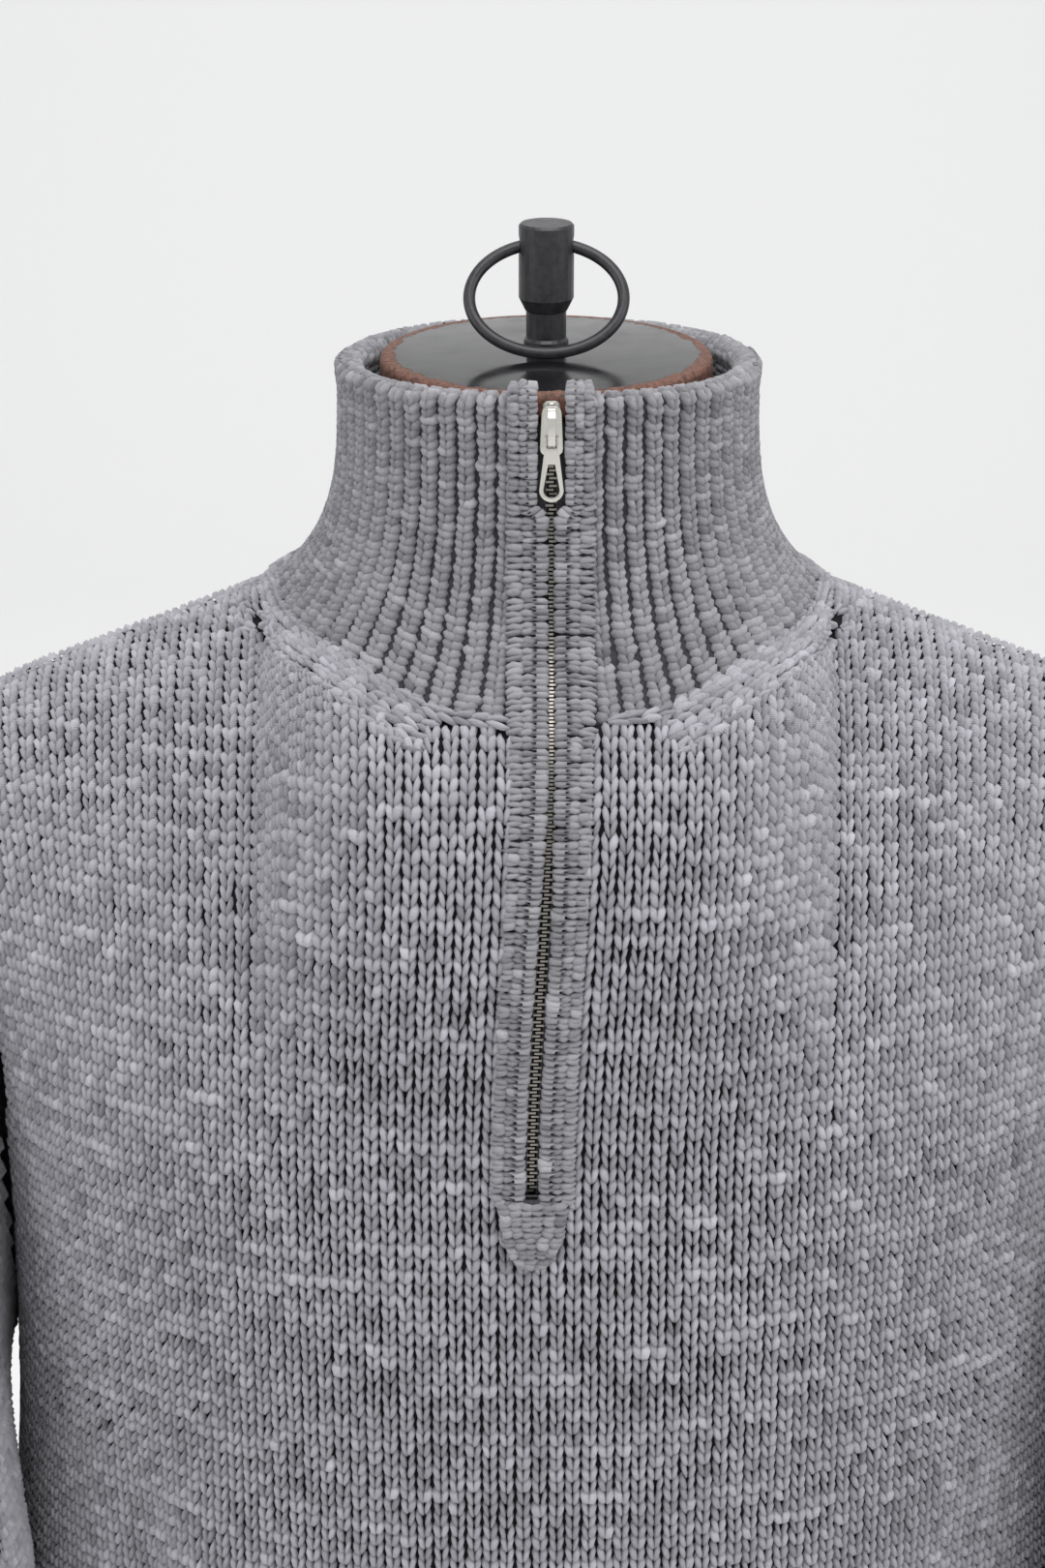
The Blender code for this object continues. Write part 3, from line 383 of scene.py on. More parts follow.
def knit_over(grid, fixed_row=None, wale=WALE, course=COURSE):
    """Stitches in straight columns over a grid of cloth, whose rows go up and columns to the right.

    The columns of stitches keep their distance round the cloth, as far up as fixed_row, and above
    that follow the grid's own. Returns the frames of the stitches, and for each its column, row and
    its places a and b on the grid.
    """
    rows, columns = grid.shape[:2]
    half = (columns - 1) / 2
    steps = np.linalg.norm(np.diff(grid, axis=1), axis=2)
    length = np.concatenate((np.zeros((rows, 1)), np.cumsum(steps, axis=1)), axis=1)
    middle = np.array([np.interp(half, np.arange(columns), line) for line in length])
    length -= middle[:, None]
    reach = int(max(-length.min(), length.max()) / wale) + 1
    places = (np.arange(-reach, reach) + 0.5) * wale
    fixed = rows - 1 if fixed_row is None else fixed_row
    fine = np.linspace(0, rows - 1, 4 * rows)
    a_rows = np.array([np.interp(places, length[min(r, fixed)], np.arange(columns)) for r in range(rows)])
    edges = (np.arange(-reach, reach + 1)) * wale
    a_edges = np.array([np.interp(edges, length[min(r, fixed)], np.arange(columns)) for r in range(rows)])
    inside = np.array(
        [(places > length[min(r, fixed), 0]) & (places < length[min(r, fixed), -1]) for r in range(rows)]
    )
    found = []
    for k in range(len(places)):
        a_fine = np.interp(fine, np.arange(rows), a_rows[:, k])
        path = on_grid(grid, a_fine, fine)
        along = run_along(path)
        total = int(along[-1] / course - 0.25)
        b = np.interp((np.arange(total) + 0.3) * course, along, fine)
        good = inside[np.clip(np.round(b).astype(int), 0, rows - 1), k]
        a = np.interp(b, np.arange(rows), a_rows[:, k])
        found.append(np.stack((np.full(total, k), np.arange(total), a, b), axis=1)[good])
    found = np.concatenate(found)
    # above fixed_row a column widens with the grid, and divides where it would be too wide
    k, b = found[:, 0].astype(int), found[:, 3]
    i = np.clip(b.astype(int), 0, rows - 2)
    left, right = [a_edges[i, n] + (a_edges[i + 1, n] - a_edges[i, n]) * (b - i) for n in (k, k + 1)]
    width = np.linalg.norm(on_grid(grid, right, b) - on_grid(grid, left, b), axis=1)
    parts = np.clip(np.round(width / wale - 0.2), 1, 5).astype(int)
    again = np.repeat(np.arange(len(found)), parts)
    number = np.concatenate([np.arange(n) for n in parts])
    share = ((right - left) / parts)[again]
    left = left[again] + number * share
    found = found[again]
    found[:, 2] = left + share / 2
    frames, _ = frames_on(grid, found, wale, course)
    start, end = on_grid(grid, left, found[:, 3]), on_grid(grid, left + share, found[:, 3])
    up = unit(frames[2])
    square = end - start - np.sum((end - start) * up, axis=1, keepdims=True) * up
    return ((start + end) / 2, square, *frames[2:]), found


def frames_on(grid, found, wale, course):
    """The frames of stitches whose (column, row, a, b) are given."""
    k, r, a, b = found.T
    step = 0.25
    point = on_grid(grid, a, b)
    right = on_grid(grid, a + step, b) - on_grid(grid, a - step, b)
    up = on_grid(grid, a, np.minimum(b + step, grid.shape[0] - 1)) - on_grid(grid, a, np.maximum(b - step, 0))
    right, up = unit(right), unit(up)
    out = unit(np.cross(right, up))
    thickness = slubs(int(k.max()) + 1, int(r.max()) + 1)
    # neighbours in the same row share the yarn
    frames = (point, right * wale, up * course, out, thickness[r.astype(int), k.astype(int)])
    return frames, found


def chosen(frames, keep):
    return tuple(part[keep] for part in frames)


def belongs(pieces, body="root"):
    """The body that pieces ride on: they are attached to it."""
    for piece in pieces:
        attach(piece, body)


def shell(name, grid, outer, inner, materials, keep=None, closed=False):
    """A thin closed wall under a grid of cloth, from outer to inner metres below its face."""
    rows, columns = grid.shape[:2]
    if closed:
        right = np.roll(grid, -1, axis=1) - np.roll(grid, 1, axis=1)
    else:
        right = np.gradient(grid, axis=1)
    out = unit(np.cross(right, np.gradient(grid, axis=0)))
    along = np.linalg.norm(np.diff(grid, axis=0), axis=2)
    v = np.concatenate((np.zeros((1, columns)), np.cumsum(along, axis=0)))
    u = np.broadcast_to(np.linspace(0, 1, columns), (rows, columns))
    uv = np.stack((u, v), axis=-1).reshape(-1, 2)
    sides = [(grid - out * depth).reshape(-1, 3) for depth in (outer, inner)]
    across = columns if closed else columns - 1
    cells = np.ones((rows - 1, across), bool) if keep is None else keep
    count = rows * columns
    faces, inward = [], []
    padded = np.pad(cells, 1)
    if closed:
        padded[1:-1, 0], padded[1:-1, -1] = cells[:, -1], cells[:, 0]
    for i, j in np.argwhere(cells):
        n = (j + 1) % columns
        c = (i * columns + j, i * columns + n, (i + 1) * columns + n, (i + 1) * columns + j)
        faces.append(c)
        inward.append(0)
        faces.append(tuple(count + x for x in reversed(c)))
        inward.append(1)
        for k, (di, dj) in enumerate(((0, 1), (1, 2), (2, 1), (1, 0))):
            if not padded[i + di, j + dj]:
                x, y = c[k], c[(k + 1) % 4]
                faces.append((x, x + count, y + count, y))
                inward.append(1)
    piece = finish_mesh(name, np.concatenate(sides), faces, materials[0], np.concatenate((uv, uv)))
    piece.data.materials.append(materials[1])
    piece.data.polygons.foreach_set("material_index", np.array(inward, dtype=np.int32))
    return piece


# ---------------------------------------------------------------- front and back panels
# Plain stockinette, knitted to shape: straight sides up to the underarm, armholes, and a round neck.
# The front has a slit for the zip. The cloth lies on the form's shoulders and hangs free below them.


def table(columns, *rows):
    """Rows of numbers with named columns."""
    return np.array(list(rows), dtype=[(column, float) for column in columns.split()])


SEAM_GAP = 0.3 * MM
HEM = 0.075
RIB_TOP = 0.135
UNDERARM = 0.430
BUST = 0.557  # the height of the zip's lower end
NECK_FRONT = 0.7125
NECK_POINT = (0.096, 0.7235)
SHOULDER_SLOPE = 0.385
SHOULDER_RUN = 0.126
SHOULDER_SEAM_Y = 0.014
SLIT = 0.0128

BODY = table(
    "z     half_width front back  power reach",
    (0.075, 0.192, 0.116, 0.110, 2.30, 1.00),
    (0.135, 0.201, 0.128, 0.118, 2.30, 1.00),
    (0.210, 0.212, 0.139, 0.127, 2.30, 1.00),
    (0.330, 0.206, 0.142, 0.127, 2.30, 1.00),
    (0.430, 0.198, 0.1405, 0.124, 2.30, 1.00),
    (0.500, 0.197, 0.1382, 0.121, 2.28, 0.86),
    (0.557, 0.201, 0.1320, 0.115, 2.25, 0.78),
)

# Soft folds: face is -1 in front and 1 at the back, across is measured round the cloth from the
# middle, and rise is outwards.
FOLDS = table(
    "face  across  top    base   width  rise",
    (-1, -0.150, 0.500, 0.330, 0.016, -0.007),
    (-1, -0.118, 0.480, 0.300, 0.018, 0.004),
    (-1, 0.158, 0.470, 0.300, 0.015, -0.007),
    (-1, 0.126, 0.420, 0.250, 0.018, 0.004),
    (-1, 0.050, 0.330, 0.150, 0.020, -0.004),
    (-1, -0.205, 0.420, 0.300, 0.016, 0.007),
    (-1, 0.210, 0.420, 0.300, 0.016, 0.007),
    (1, -0.140, 0.500, 0.300, 0.017, -0.007),
    (1, -0.060, 0.420, 0.240, 0.020, 0.005),
    (1, 0.075, 0.460, 0.260, 0.018, -0.006),
    (1, 0.150, 0.480, 0.300, 0.017, 0.006),
    (1, 0.205, 0.420, 0.280, 0.015, -0.006),
)


def read(rows, column, at, along="z"):
    """A column's value at a height, on a smooth curve through the rows."""
    known, values = rows[along], rows[column]
    slope = np.gradient(values, known)
    i = np.clip(np.searchsorted(known, at) - 1, 0, len(known) - 2)
    span = known[i + 1] - known[i]
    t = np.clip((at - known[i]) / span, 0.0, 1.0)
    return (
        values[i] * (1 + 2 * t) * (1 - t) ** 2
        + slope[i] * span * t * (1 - t) ** 2
        + values[i + 1] * t * t * (3 - 2 * t)
        + slope[i + 1] * span * t * t * (t - 1)
    )


def zip_x(z):
    """The zip's line leans a little to the wearer's right towards its lower end."""
    return 0.0012 - 0.0062 * smoothed((NECK_FRONT - z) / 0.156)


def leaning(points):
    """Points in front, moved with the zip's line."""
    moved = points.copy()
    near = np.clip(1 - np.abs(points[..., 0]) / 0.15, 0, 1)
    moved[..., 0] += zip_x(points[..., 2]) * near
    return moved


sections = {}


def half_section(z, face):
    """The half of a level section from the middle to its side edge, and the length along it."""
    if (z, face) not in sections:
        angle = np.linspace(0, 0.9999, 61) * math.pi / 2 * min(read(BODY, "reach", z), 1.0)
        power = 2 / read(BODY, "power", z)
        x = read(BODY, "half_width", z) * np.sin(angle) ** power
        y = face * read(BODY, "front" if face < 0 else "back", z) * np.cos(angle) ** power
        length = np.concatenate(([0.0], np.cumsum(np.hypot(np.diff(x), np.diff(y)))))
        sections[z, face] = (x, y, length)
    return sections[z, face]


BUST_LENGTH = half_section(BUST, -1)[2][-1]


def spread(across, full):
    return across * (1 + (full / BUST_LENGTH - 1) * (across / BUST_LENGTH) ** 2)


def fold_rise(face, place, z, edge):
    """How far the folds move the cloth out; they die out at the panel's edge."""
    total = 0.0
    for fold in FOLDS[FOLDS["face"] == face]:
        grown = smoothed((fold["top"] - z) / (fold["top"] - fold["base"]))
        total += fold["rise"] * grown * math.exp(-(((place - fold["across"]) / fold["width"]) ** 2))
    return total * (1 - edge**6)


def level_point(across, z, face):
    """A point of the hanging body: across from the middle, at a height."""
    x, y, length = half_section(z, face)
    place = spread(abs(across), length[-1])
    side = math.copysign(1.0, across)
    ahead = min(place + 0.002, length[-1])
    behind = max(ahead - 0.004, 0.0)
    tx = np.interp(ahead, length, x) - np.interp(behind, length, x)
    ty = np.interp(ahead, length, y) - np.interp(behind, length, y)
    rise = fold_rise(face, side * place, z, abs(across) / BUST_LENGTH) / math.hypot(tx, ty)
    px = np.interp(place, length, x) - face * ty * rise
    py = np.interp(place, length, y) + face * tx * rise
    return np.array((side * px, py, z))


def top_point(across, face):
    """Where a column ends at the top: on the neck seam or on the shoulder seam."""
    run = SHOULDER_RUN * math.hypot(1, SHOULDER_SLOPE)
    place = spread(abs(across), NECK_POINT[0] + run)
    side = math.copysign(1.0, across)
    seam_y = SHOULDER_SEAM_Y + face * SEAM_GAP
    if place < NECK_POINT[0]:
        round_neck = math.sqrt(1 - (place / NECK_POINT[0]) ** 2)
        if face < 0:
            z = NECK_FRONT + (NECK_POINT[1] - NECK_FRONT) * smoothed((place - 0.03) / 0.045)
            return np.array((side * place, seam_y - 0.117 * round_neck, z))
        z = NECK_POINT[1] + 0.019 * smoothed((NECK_POINT[0] - place) / 0.07)
        return np.array((side * place, seam_y + 0.058 * round_neck, z))
    along = (place - NECK_POINT[0]) / math.hypot(1, SHOULDER_SLOPE)
    droop = 0.006 * smoothed((along - 0.085) / 0.05)
    return np.array((side * (NECK_POINT[0] + along), seam_y, NECK_POINT[1] - SHOULDER_SLOPE * along - droop))


def top_tangent(across, face):
    """The direction of a column where it reaches the top."""
    shoulder = smoothed(abs(across) / 0.085)
    if face < 0:
        middle, end = np.array((0.0, 0.62, 0.78)), np.array((0.0, 1.0, -0.10))
    else:
        middle, end = np.array((0.0, -0.45, 0.90)), np.array((0.0, -1.0, 0.10))
    return unit(middle + (end - middle) * shoulder)


def upper_point(across, t, face):
    """A point of a column above the bust, t going from 0 there to 1 at the top."""
    start, end = level_point(across, BUST, face), top_point(across, face)
    leave = unit(start - level_point(across, BUST - 0.01, face))
    size = (1.05 - 0.07 * smoothed(abs(across) / 0.11)) * np.linalg.norm(end - start)
    arrive = top_tangent(across, face) * size
    return (
        start * (1 + 2 * t) * (1 - t) ** 2
        + leave * size * t * (1 - t) ** 2
        + end * t * t * (3 - 2 * t)
        + arrive * t * t * (t - 1)
    )


GRID_COLUMNS = 109
LOWER_COUNT = 56
UPPER_COUNT = 26
lower_heights = np.linspace(RIB_TOP + SEAM_GAP, BUST, LOWER_COUNT)
acrosses = np.linspace(-BUST_LENGTH + 1e-5, BUST_LENGTH - 1e-5, GRID_COLUMNS)


def panel_grid(face):
    """Points of a panel's outer face; rows go up, and columns to the right as seen from outside."""
    rows = [[level_point(c, z, face) for c in acrosses] for z in lower_heights]
    rows += [[upper_point(c, t, face) for c in acrosses] for t in np.linspace(0, 1, UPPER_COUNT)[1:]]
    grid = np.array(rows)
    return leaning(grid) if face < 0 else grid[:, ::-1]


front_grid = panel_grid(-1)
back_grid = panel_grid(1)

GROUND_DEPTH = 2.2 * MM
KNIT = 4.0 * MM
FINE_FROM = 0.37  # stitches above this height get more faces

slit_cells = np.ones((front_grid.shape[0] - 1, GRID_COLUMNS - 1), bool)
cell_across = (acrosses[:-1] + acrosses[1:]) / 2
slit_cells[LOWER_COUNT - 1 :, np.abs(cell_across) < SLIT - 1.5 * MM] = False

front_cloth = shell("front_cloth", front_grid, GROUND_DEPTH, KNIT, (knit_ground, purl_side), slit_cells)
back_cloth = shell("back_cloth", back_grid, GROUND_DEPTH, KNIT, (knit_ground, purl_side))

front_frames, _ = knit_over(front_grid, LOWER_COUNT - 1)
back_frames, _ = knit_over(back_grid, LOWER_COUNT - 1)

# Two or three columns of stitches run along the neck seam where the neck was narrowed, and the
# straight columns end against them.
FASHIONED = (3.2 * MM, 8.8 * MM, 14.4 * MM)  # how far the columns lie from the neck seam
FASHIONED_END = 12.6 * MM


def neck_seam(angle):
    """The neck seam, angle 0 in the middle of the front and going round by the wearer's left."""
    x = NECK_POINT[0] * math.sin(angle)
    place = abs(x)
    if math.cos(angle) > 0:
        y = SHOULDER_SEAM_Y - 0.117 * abs(math.cos(angle))
        z = NECK_FRONT + (NECK_POINT[1] - NECK_FRONT) * smoothed((place - 0.03) / 0.045)
    else:
        y = SHOULDER_SEAM_Y + 0.058 * abs(math.cos(angle))
        z = NECK_POINT[1] + 0.019 * smoothed((NECK_POINT[0] - place) / 0.07)
    return np.array((x, y, z))


def surface_tree(grids):
    """A search tree over grids of cloth, for the nearest point and the direction outwards there."""
    points, faces, first = [], [], 0
    for grid in grids:
        rows, columns = grid.shape[:2]
        index = np.arange(rows * columns).reshape(rows, columns) + first
        cells = np.stack((index[:-1, :-1], index[:-1, 1:], index[1:, 1:], index[1:, :-1]), axis=-1)
        points.append(grid.reshape(-1, 3))
        faces.append(cells.reshape(-1, 4))
        first += rows * columns
    return BVHTree.FromPolygons(np.concatenate(points).tolist(), np.concatenate(faces).tolist())


def along_curve(curve, pitch):
    """Points a pitch apart on a curve of points, and the direction of the curve at each."""
    run = run_along(curve)
    count = max(int(run[-1] / pitch), 1)
    at = (np.arange(count) + 0.5) * run[-1] / count

    def read_at(where):
        return np.stack([np.interp(where, run, curve[:, k]) for k in range(3)], axis=1)

    return read_at(at), unit(read_at(at + pitch / 2) - read_at(at - pitch / 2))


def beside_seam(tree, curve, distance, pitch, width, lift=0.0, turn=1):
    """Frames of a column of stitches that runs along a curve, at a distance from it over the cloth."""
    points, ahead = along_curve(curve, pitch)
    middle, out = [], []
    for point, direction in zip(points, ahead):
        _, normal, _, _ = tree.find_nearest(point)
        away = turn * unit(np.cross(direction, np.array(normal)))
        place, normal, _, _ = tree.find_nearest(point + away * distance)
        middle.append(np.array(place) + np.array(normal) * lift)
        out.append(normal)
    middle, out = np.array(middle), unit(np.array(out))
    up = unit(np.gradient(middle, axis=0)) if len(middle) > 1 else ahead
    right = unit(np.cross(up, out))
    length = np.linalg.norm(np.gradient(middle, axis=0), axis=1)[:, None]
    thick = 1.0 + 0.12 * dice.normal(0, 1, len(middle))
    return middle, right * width, up * length, out, np.clip(thick, 0.7, 1.4)


body_tree = surface_tree((front_grid, back_grid))
seam_points = {}
for side in (1, -1):
    angles = side * np.radians(np.linspace(20, 100, 90))
    seam_points[side] = leaning(np.array([neck_seam(a) for a in angles]))


def near_fashioning(points):
    """Which points lie where the fashioned columns run, beside their stretches of the neck seam."""
    near = np.zeros(len(points), bool)
    for curve in seam_points.values():
        distance = np.linalg.norm(points[:, None] - curve[None], axis=2)
        nearest = distance.argmin(axis=1)
        near |= (distance.min(axis=1) < FASHIONED_END) & (nearest > 1) & (nearest < len(curve) - 2)
    return near


seam_frames = [
    beside_seam(body_tree, seam_points[side], distance, COURSE, WALE * 1.08, 0.2 * MM, turn=side)
    for side in (1, -1)
    for distance in FASHIONED
]
near_seam = near_fashioning(front_frames[0])
near_seam_back = near_fashioning(back_frames[0])
fashioned = tuple(np.concatenate(parts) for parts in zip(*seam_frames))

PLACKET_END = 23 * MM  # how far the bands' sewn end reaches below the slit
from_zip = front_frames[0][:, 0] - zip_x(front_frames[0][:, 2])
beside_slit = np.abs(from_zip) > SLIT - 0.3 * MM
under_end = BUST - front_frames[0][:, 2]
end_half = 12.2 * MM * np.sqrt(np.clip(1 - (0.92 * under_end / PLACKET_END) ** 2, 0, 1))
covered = (under_end > 0) & (under_end < PLACKET_END) & (np.abs(from_zip) < end_half - 1.0 * MM)
clear_of_zip = np.where(under_end <= 0, beside_slit, ~covered) & ~near_seam
fine = front_frames[0][:, 2] > FINE_FROM
left_side = front_frames[0][:, 0] > 0
left_frames, right_frames, low_frames = [
    chosen(front_frames, clear_of_zip & share) for share in (fine & left_side, fine & ~left_side, ~fine)
]
front_pieces = [
    stitched("front_stitches_left", left_frames, FINE_LEG, ROUND, grey_slub),
    stitched("front_stitches_right", right_frames, FINE_LEG, ROUND, grey_slub),
    stitched("front_stitches_low", low_frames, PLAIN_LEG, RIDGE, grey_slub, True),
    stitched("neck_stitches", fashioned, FINE_LEG, ROUND, grey_slub),
]
plain_back = chosen(back_frames, ~near_seam_back)
back_pieces = [stitched("back_stitches", plain_back, PLAIN_LEG, RIDGE, grey_slub, True)]

panels = ((front_cloth, front_pieces, "front_panel"), (back_cloth, back_pieces, "back_panel"))
for cloth, pieces, node in panels:
    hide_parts(node)
    belongs((cloth, *pieces))


# ---------------------------------------------------------------- sleeves
# Stockinette tubes, sewn up at the underarm and linked into the armholes. They hang empty, so they
# are half flat, and widest where they leave the shoulder.

SLEEVE = table(
    "out    top    into   low    y       depth  turn",
    (0.2440, 0.640, 0.2050, 0.4250, -0.012, 0.070, 8),
    (0.2600, 0.590, 0.2080, 0.4150, -0.028, 0.074, 18),
    (0.2680, 0.520, 0.2080, 0.3970, -0.044, 0.077, 28),
    (0.2680, 0.450, 0.2080, 0.3700, -0.055, 0.076, 34),
    (0.2670, 0.375, 0.2090, 0.3320, -0.060, 0.071, 34),
    (0.2680, 0.300, 0.2140, 0.2800, -0.058, 0.064, 30),
    (0.2700, 0.230, 0.2200, 0.2220, -0.054, 0.057, 26),
    (0.2680, 0.172, 0.2240, 0.1680, -0.050, 0.046, 22),
)
SLEEVE_SHIFT = {1: -0.004, -1: -0.003}
SLEEVE_COLUMNS = 72
FINE_SLEEVE_FROM = 0.47
CUFF_TOP = 0.167
CUFF_LOW = 0.107
CUFF_RINGS = ((CUFF_LOW, 0.88), (0.5 * (CUFF_LOW + CUFF_TOP), 0.90), (CUFF_TOP - 0.004, 0.96))  # height, size
underarm_row = int(np.searchsorted(lower_heights, UNDERARM))


def sleeve_ring(row, shares, side):
    """One oval section of the hanging sleeve."""
    outer = np.array((row["out"], row["y"], row["top"]))
    inner = np.array((row["into"], row["y"], row["low"]))
    turn = math.radians(row["turn"])
    middle, half = (outer + inner) / 2, (outer - inner) / 2
    thick = np.array((half[0] * math.cos(turn), -half[0] * math.sin(turn), half[2]))
    deep = row["depth"] * np.array((-math.sin(turn), -math.cos(turn), 0.0))
    c, s = np.cos(2 * math.pi * shares)[:, None], np.sin(2 * math.pi * shares)[:, None]
    points = middle + thick * np.sign(c) * np.abs(c) ** 0.85 + deep * np.sign(s) * np.abs(s) ** 0.85
    points[:, 0] += SLEEVE_SHIFT[side] * smoothed((0.62 - row["low"]) / 0.2)
    return points * np.array((side, 1, 1))


def sleeve_grid(side):
    """Points of a sleeve: rows go up, and columns to the right from the seam under the arm and back to it."""
    front_edge = front_grid[underarm_row:, 0 if side < 0 else -1]
    back_edge = back_grid[underarm_row:, -1 if side < 0 else 0]
    ring = np.concatenate((front_edge[::-1], back_edge[1:]))
    steps = np.linalg.norm(np.diff(ring, axis=0), axis=1)
    along = np.concatenate(([0.0], np.cumsum(steps))) / steps.sum()
    shares = np.linspace(0, 1, SLEEVE_COLUMNS + 1)
    start = np.stack([np.interp(shares, along, ring[:, k]) for k in range(3)], axis=1)
    start[:, 0] += side * 0.6 * MM
    rings = [start]
    for k, row in enumerate(SLEEVE):
        grown = smoothed((k + 1) / 3.0)
        rings.append(start * (1 - grown) + sleeve_ring(row, shares, side) * grown)
    rings = np.array(rings)[::-1]
    grid = cubic(rings, np.linspace(0, len(rings) - 1, 73))
    half = SLEEVE_COLUMNS // 2
    grid = np.concatenate((grid[:, half:-1], grid[:, : half + 1]), axis=1)
    return grid[:, ::-1] if side > 0 else grid


sleeve_cloths, sleeve_grids = {}, {}
for side, word in ((1, "left"), (-1, "right")):
    grid = sleeve_grid(side)
    sleeve_grids[word] = grid
    cloth = shell(
        "sleeve_cloth_" + word, grid[:, :-1], GROUND_DEPTH, KNIT, (knit_ground, purl_side), closed=True
    )
    frames, _ = knit_over(grid)
    seen = frames[0][:, 2] > FINE_SLEEVE_FROM
    upper = stitched("sleeve_stitches_upper_" + word, chosen(frames, seen), PLAIN_LEG, RIDGE, grey_slub)
    lower = stitched("sleeve_stitches_" + word, chosen(frames, ~seen), PLAIN_LEG, RIDGE, grey_slub, True)
    sleeve_cloths[word] = (cloth, [upper, lower])
    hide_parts("sleeve_" + word)
    belongs((cloth, upper, lower))


# ---------------------------------------------------------------- ribs of the hem and cuffs
# Welts in 1x1 rib, one raised column of stitches and one that sinks in. They draw the edges in.

RIB_PITCH = 7.2 * MM
RIB_COURSE = 3.4 * MM
RIB = 5.0 * MM
RIB_LEG = ((-0.35, 0.05, 0.07, -0.9), (0.30, 0.15, 0.165, 0.30), (1.15, 0.23, 0.09, -1.0))


def flute(columns_per_rib, count, deep, high):
    """The depth of a fluted face below the cloth's own, across a number of ribs."""
    turn = np.arange(columns_per_rib * count + 1) / columns_per_rib
    return high + (deep - high) * (0.5 + 0.5 * np.cos(2 * math.pi * turn)) ** 0.8


def rib_frames(grid, count, course):
    """Frames of the stitches up the raised columns of a rib."""
    rows, columns = grid.shape[:2]
    fine = np.linspace(0, rows - 1, 6 * rows)
    found = []
    for k in range(count):
        a = (k + 0.5) * (columns - 1) / count
        along = run_along(on_grid(grid, np.full(len(fine), a), fine))
        total = int(round(along[-1] / course))
        b = np.interp((np.arange(total) + 0.35) * along[-1] / total, along, fine)
        found.append(np.stack((np.full(total, k), np.arange(total), np.full(total, a), b), axis=1))
    found = np.concatenate(found)
    frames, _ = frames_on(grid, found, 1.0, course)
    a, b = found[:, 2], found[:, 3]
    step = (columns - 1) / count / 2
    pitch = np.linalg.norm(on_grid(grid, a + step, b) - on_grid(grid, a - step, b), axis=1)
    return (frames[0], unit(frames[1]) * pitch[:, None], *frames[2:])


def ribbed(name, grid, count, course, leg, across, yarn, grounds, depths, closed=False, inner=None):
    """A rib: a fluted cloth and the raised columns of stitches on it."""
    rows, columns = grid.shape[:2]
    fine_a = np.linspace(0, columns - 1, 6 * count + 1)
    fine_b = np.arange(rows)
    dense = on_grid(grid, *np.meshgrid(fine_a, fine_b))
    depth = np.broadcast_to(flute(6, count, *depths), dense.shape[:2])
    if closed:
        dense, depth = dense[:, :-1], depth[:, :-1]
    cloth = shell(name + "_cloth", dense, depth[..., None], inner, grounds, closed=closed)
    frames = rib_frames(grid, count, course)
    return cloth, stitched(name + "_stitches", frames, leg, across, yarn, True)


for face, word in ((-1, "front"), (1, "back")):
    rows = [[level_point(c, z, face) for c in acrosses[::2]] for z in np.linspace(HEM, RIB_TOP - SEAM_GAP, 9)]
    grid = np.array(rows) if face < 0 else np.array(rows)[:, ::-1]
    width = np.linalg.norm(np.diff(grid[-1], axis=0), axis=1).sum()
    cloth, stitches = ribbed(
        "hem_rib_" + word, grid, round(width / RIB_PITCH), RIB_COURSE, RIB_LEG, RIDGE, rib_slub,
        (rib_ground, purl_side), (3.0 * MM, 1.2 * MM), inner=RIB,
    )
    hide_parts("hem_rib_" + word)
    belongs((cloth, stitches))

CUFF_RIBS = 32
for side, word in ((1, "left"), (-1, "right")):
    shares = np.linspace(0, 1, SLEEVE_COLUMNS + 1)
    last = sleeve_ring(SLEEVE[-1], shares, side)
    middle = last[:-1].mean(axis=0)
    rings = []
    for z, size in CUFF_RINGS:
        ring = middle + (last - middle) * size
        ring[:, 2] += z - middle[2]
        rings.append(ring)
    rings.append(last - np.array((0, 0, 2 * SEAM_GAP)))
    grid = cubic(np.array(rings), np.linspace(0, 3, 10))
    if side > 0:
        grid = grid[:, ::-1]
    cloth, stitches = ribbed(
        "cuff_rib_" + word, grid, CUFF_RIBS, RIB_COURSE, RIB_LEG, RIDGE, rib_slub,
        (rib_ground, purl_side), (3.0 * MM, 1.2 * MM), closed=True, inner=RIB,
    )
    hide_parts("cuff_rib_" + word)
    belongs((cloth, stitches))


# ---------------------------------------------------------------- collar
# A stand collar in 1x1 rib, knitted twice its height and folded over, so its top edge is a thick
# soft roll. The neck seam below it is linked with a chain of the same yarn.

COLLAR_FLARE = 3.6
COLLAR_HALF = 0.0712
COLLAR_WALL = 8.5 * MM
COLLAR_RIBS = 62
COLLAR_COURSE = 2.7 * MM
COLLAR_TOP = table("angle z", (0, 0.8110), (90, 0.8065), (180, 0.8030))
COLLAR_LEG = (
    (-0.45, 0.050, 0.100, -1.0),
    (0.05, 0.130, 0.205, 0.30),
    (0.60, 0.200, 0.230, 0.40),
    (1.25, 0.235, 0.120, -1.2),
)


def collar_point(angle, share):
    """A point of the collar's outer face, share going from 0 at the seam to 1 at the top edge."""
    seam = neck_seam(angle)
    turn = abs(math.degrees(math.atan2(math.sin(angle), math.cos(angle))))
    high = read(COLLAR_TOP, "z", turn, "angle")
    top = np.array((COLLAR_HALF * math.sin(angle), -0.001 - 0.0700 * math.cos(angle), high))
    drawn = 1 - (1 - share) ** COLLAR_FLARE
    point = seam + (top - seam) * drawn
    point[2] = seam[2] + (top[2] - seam[2]) * share
    return point


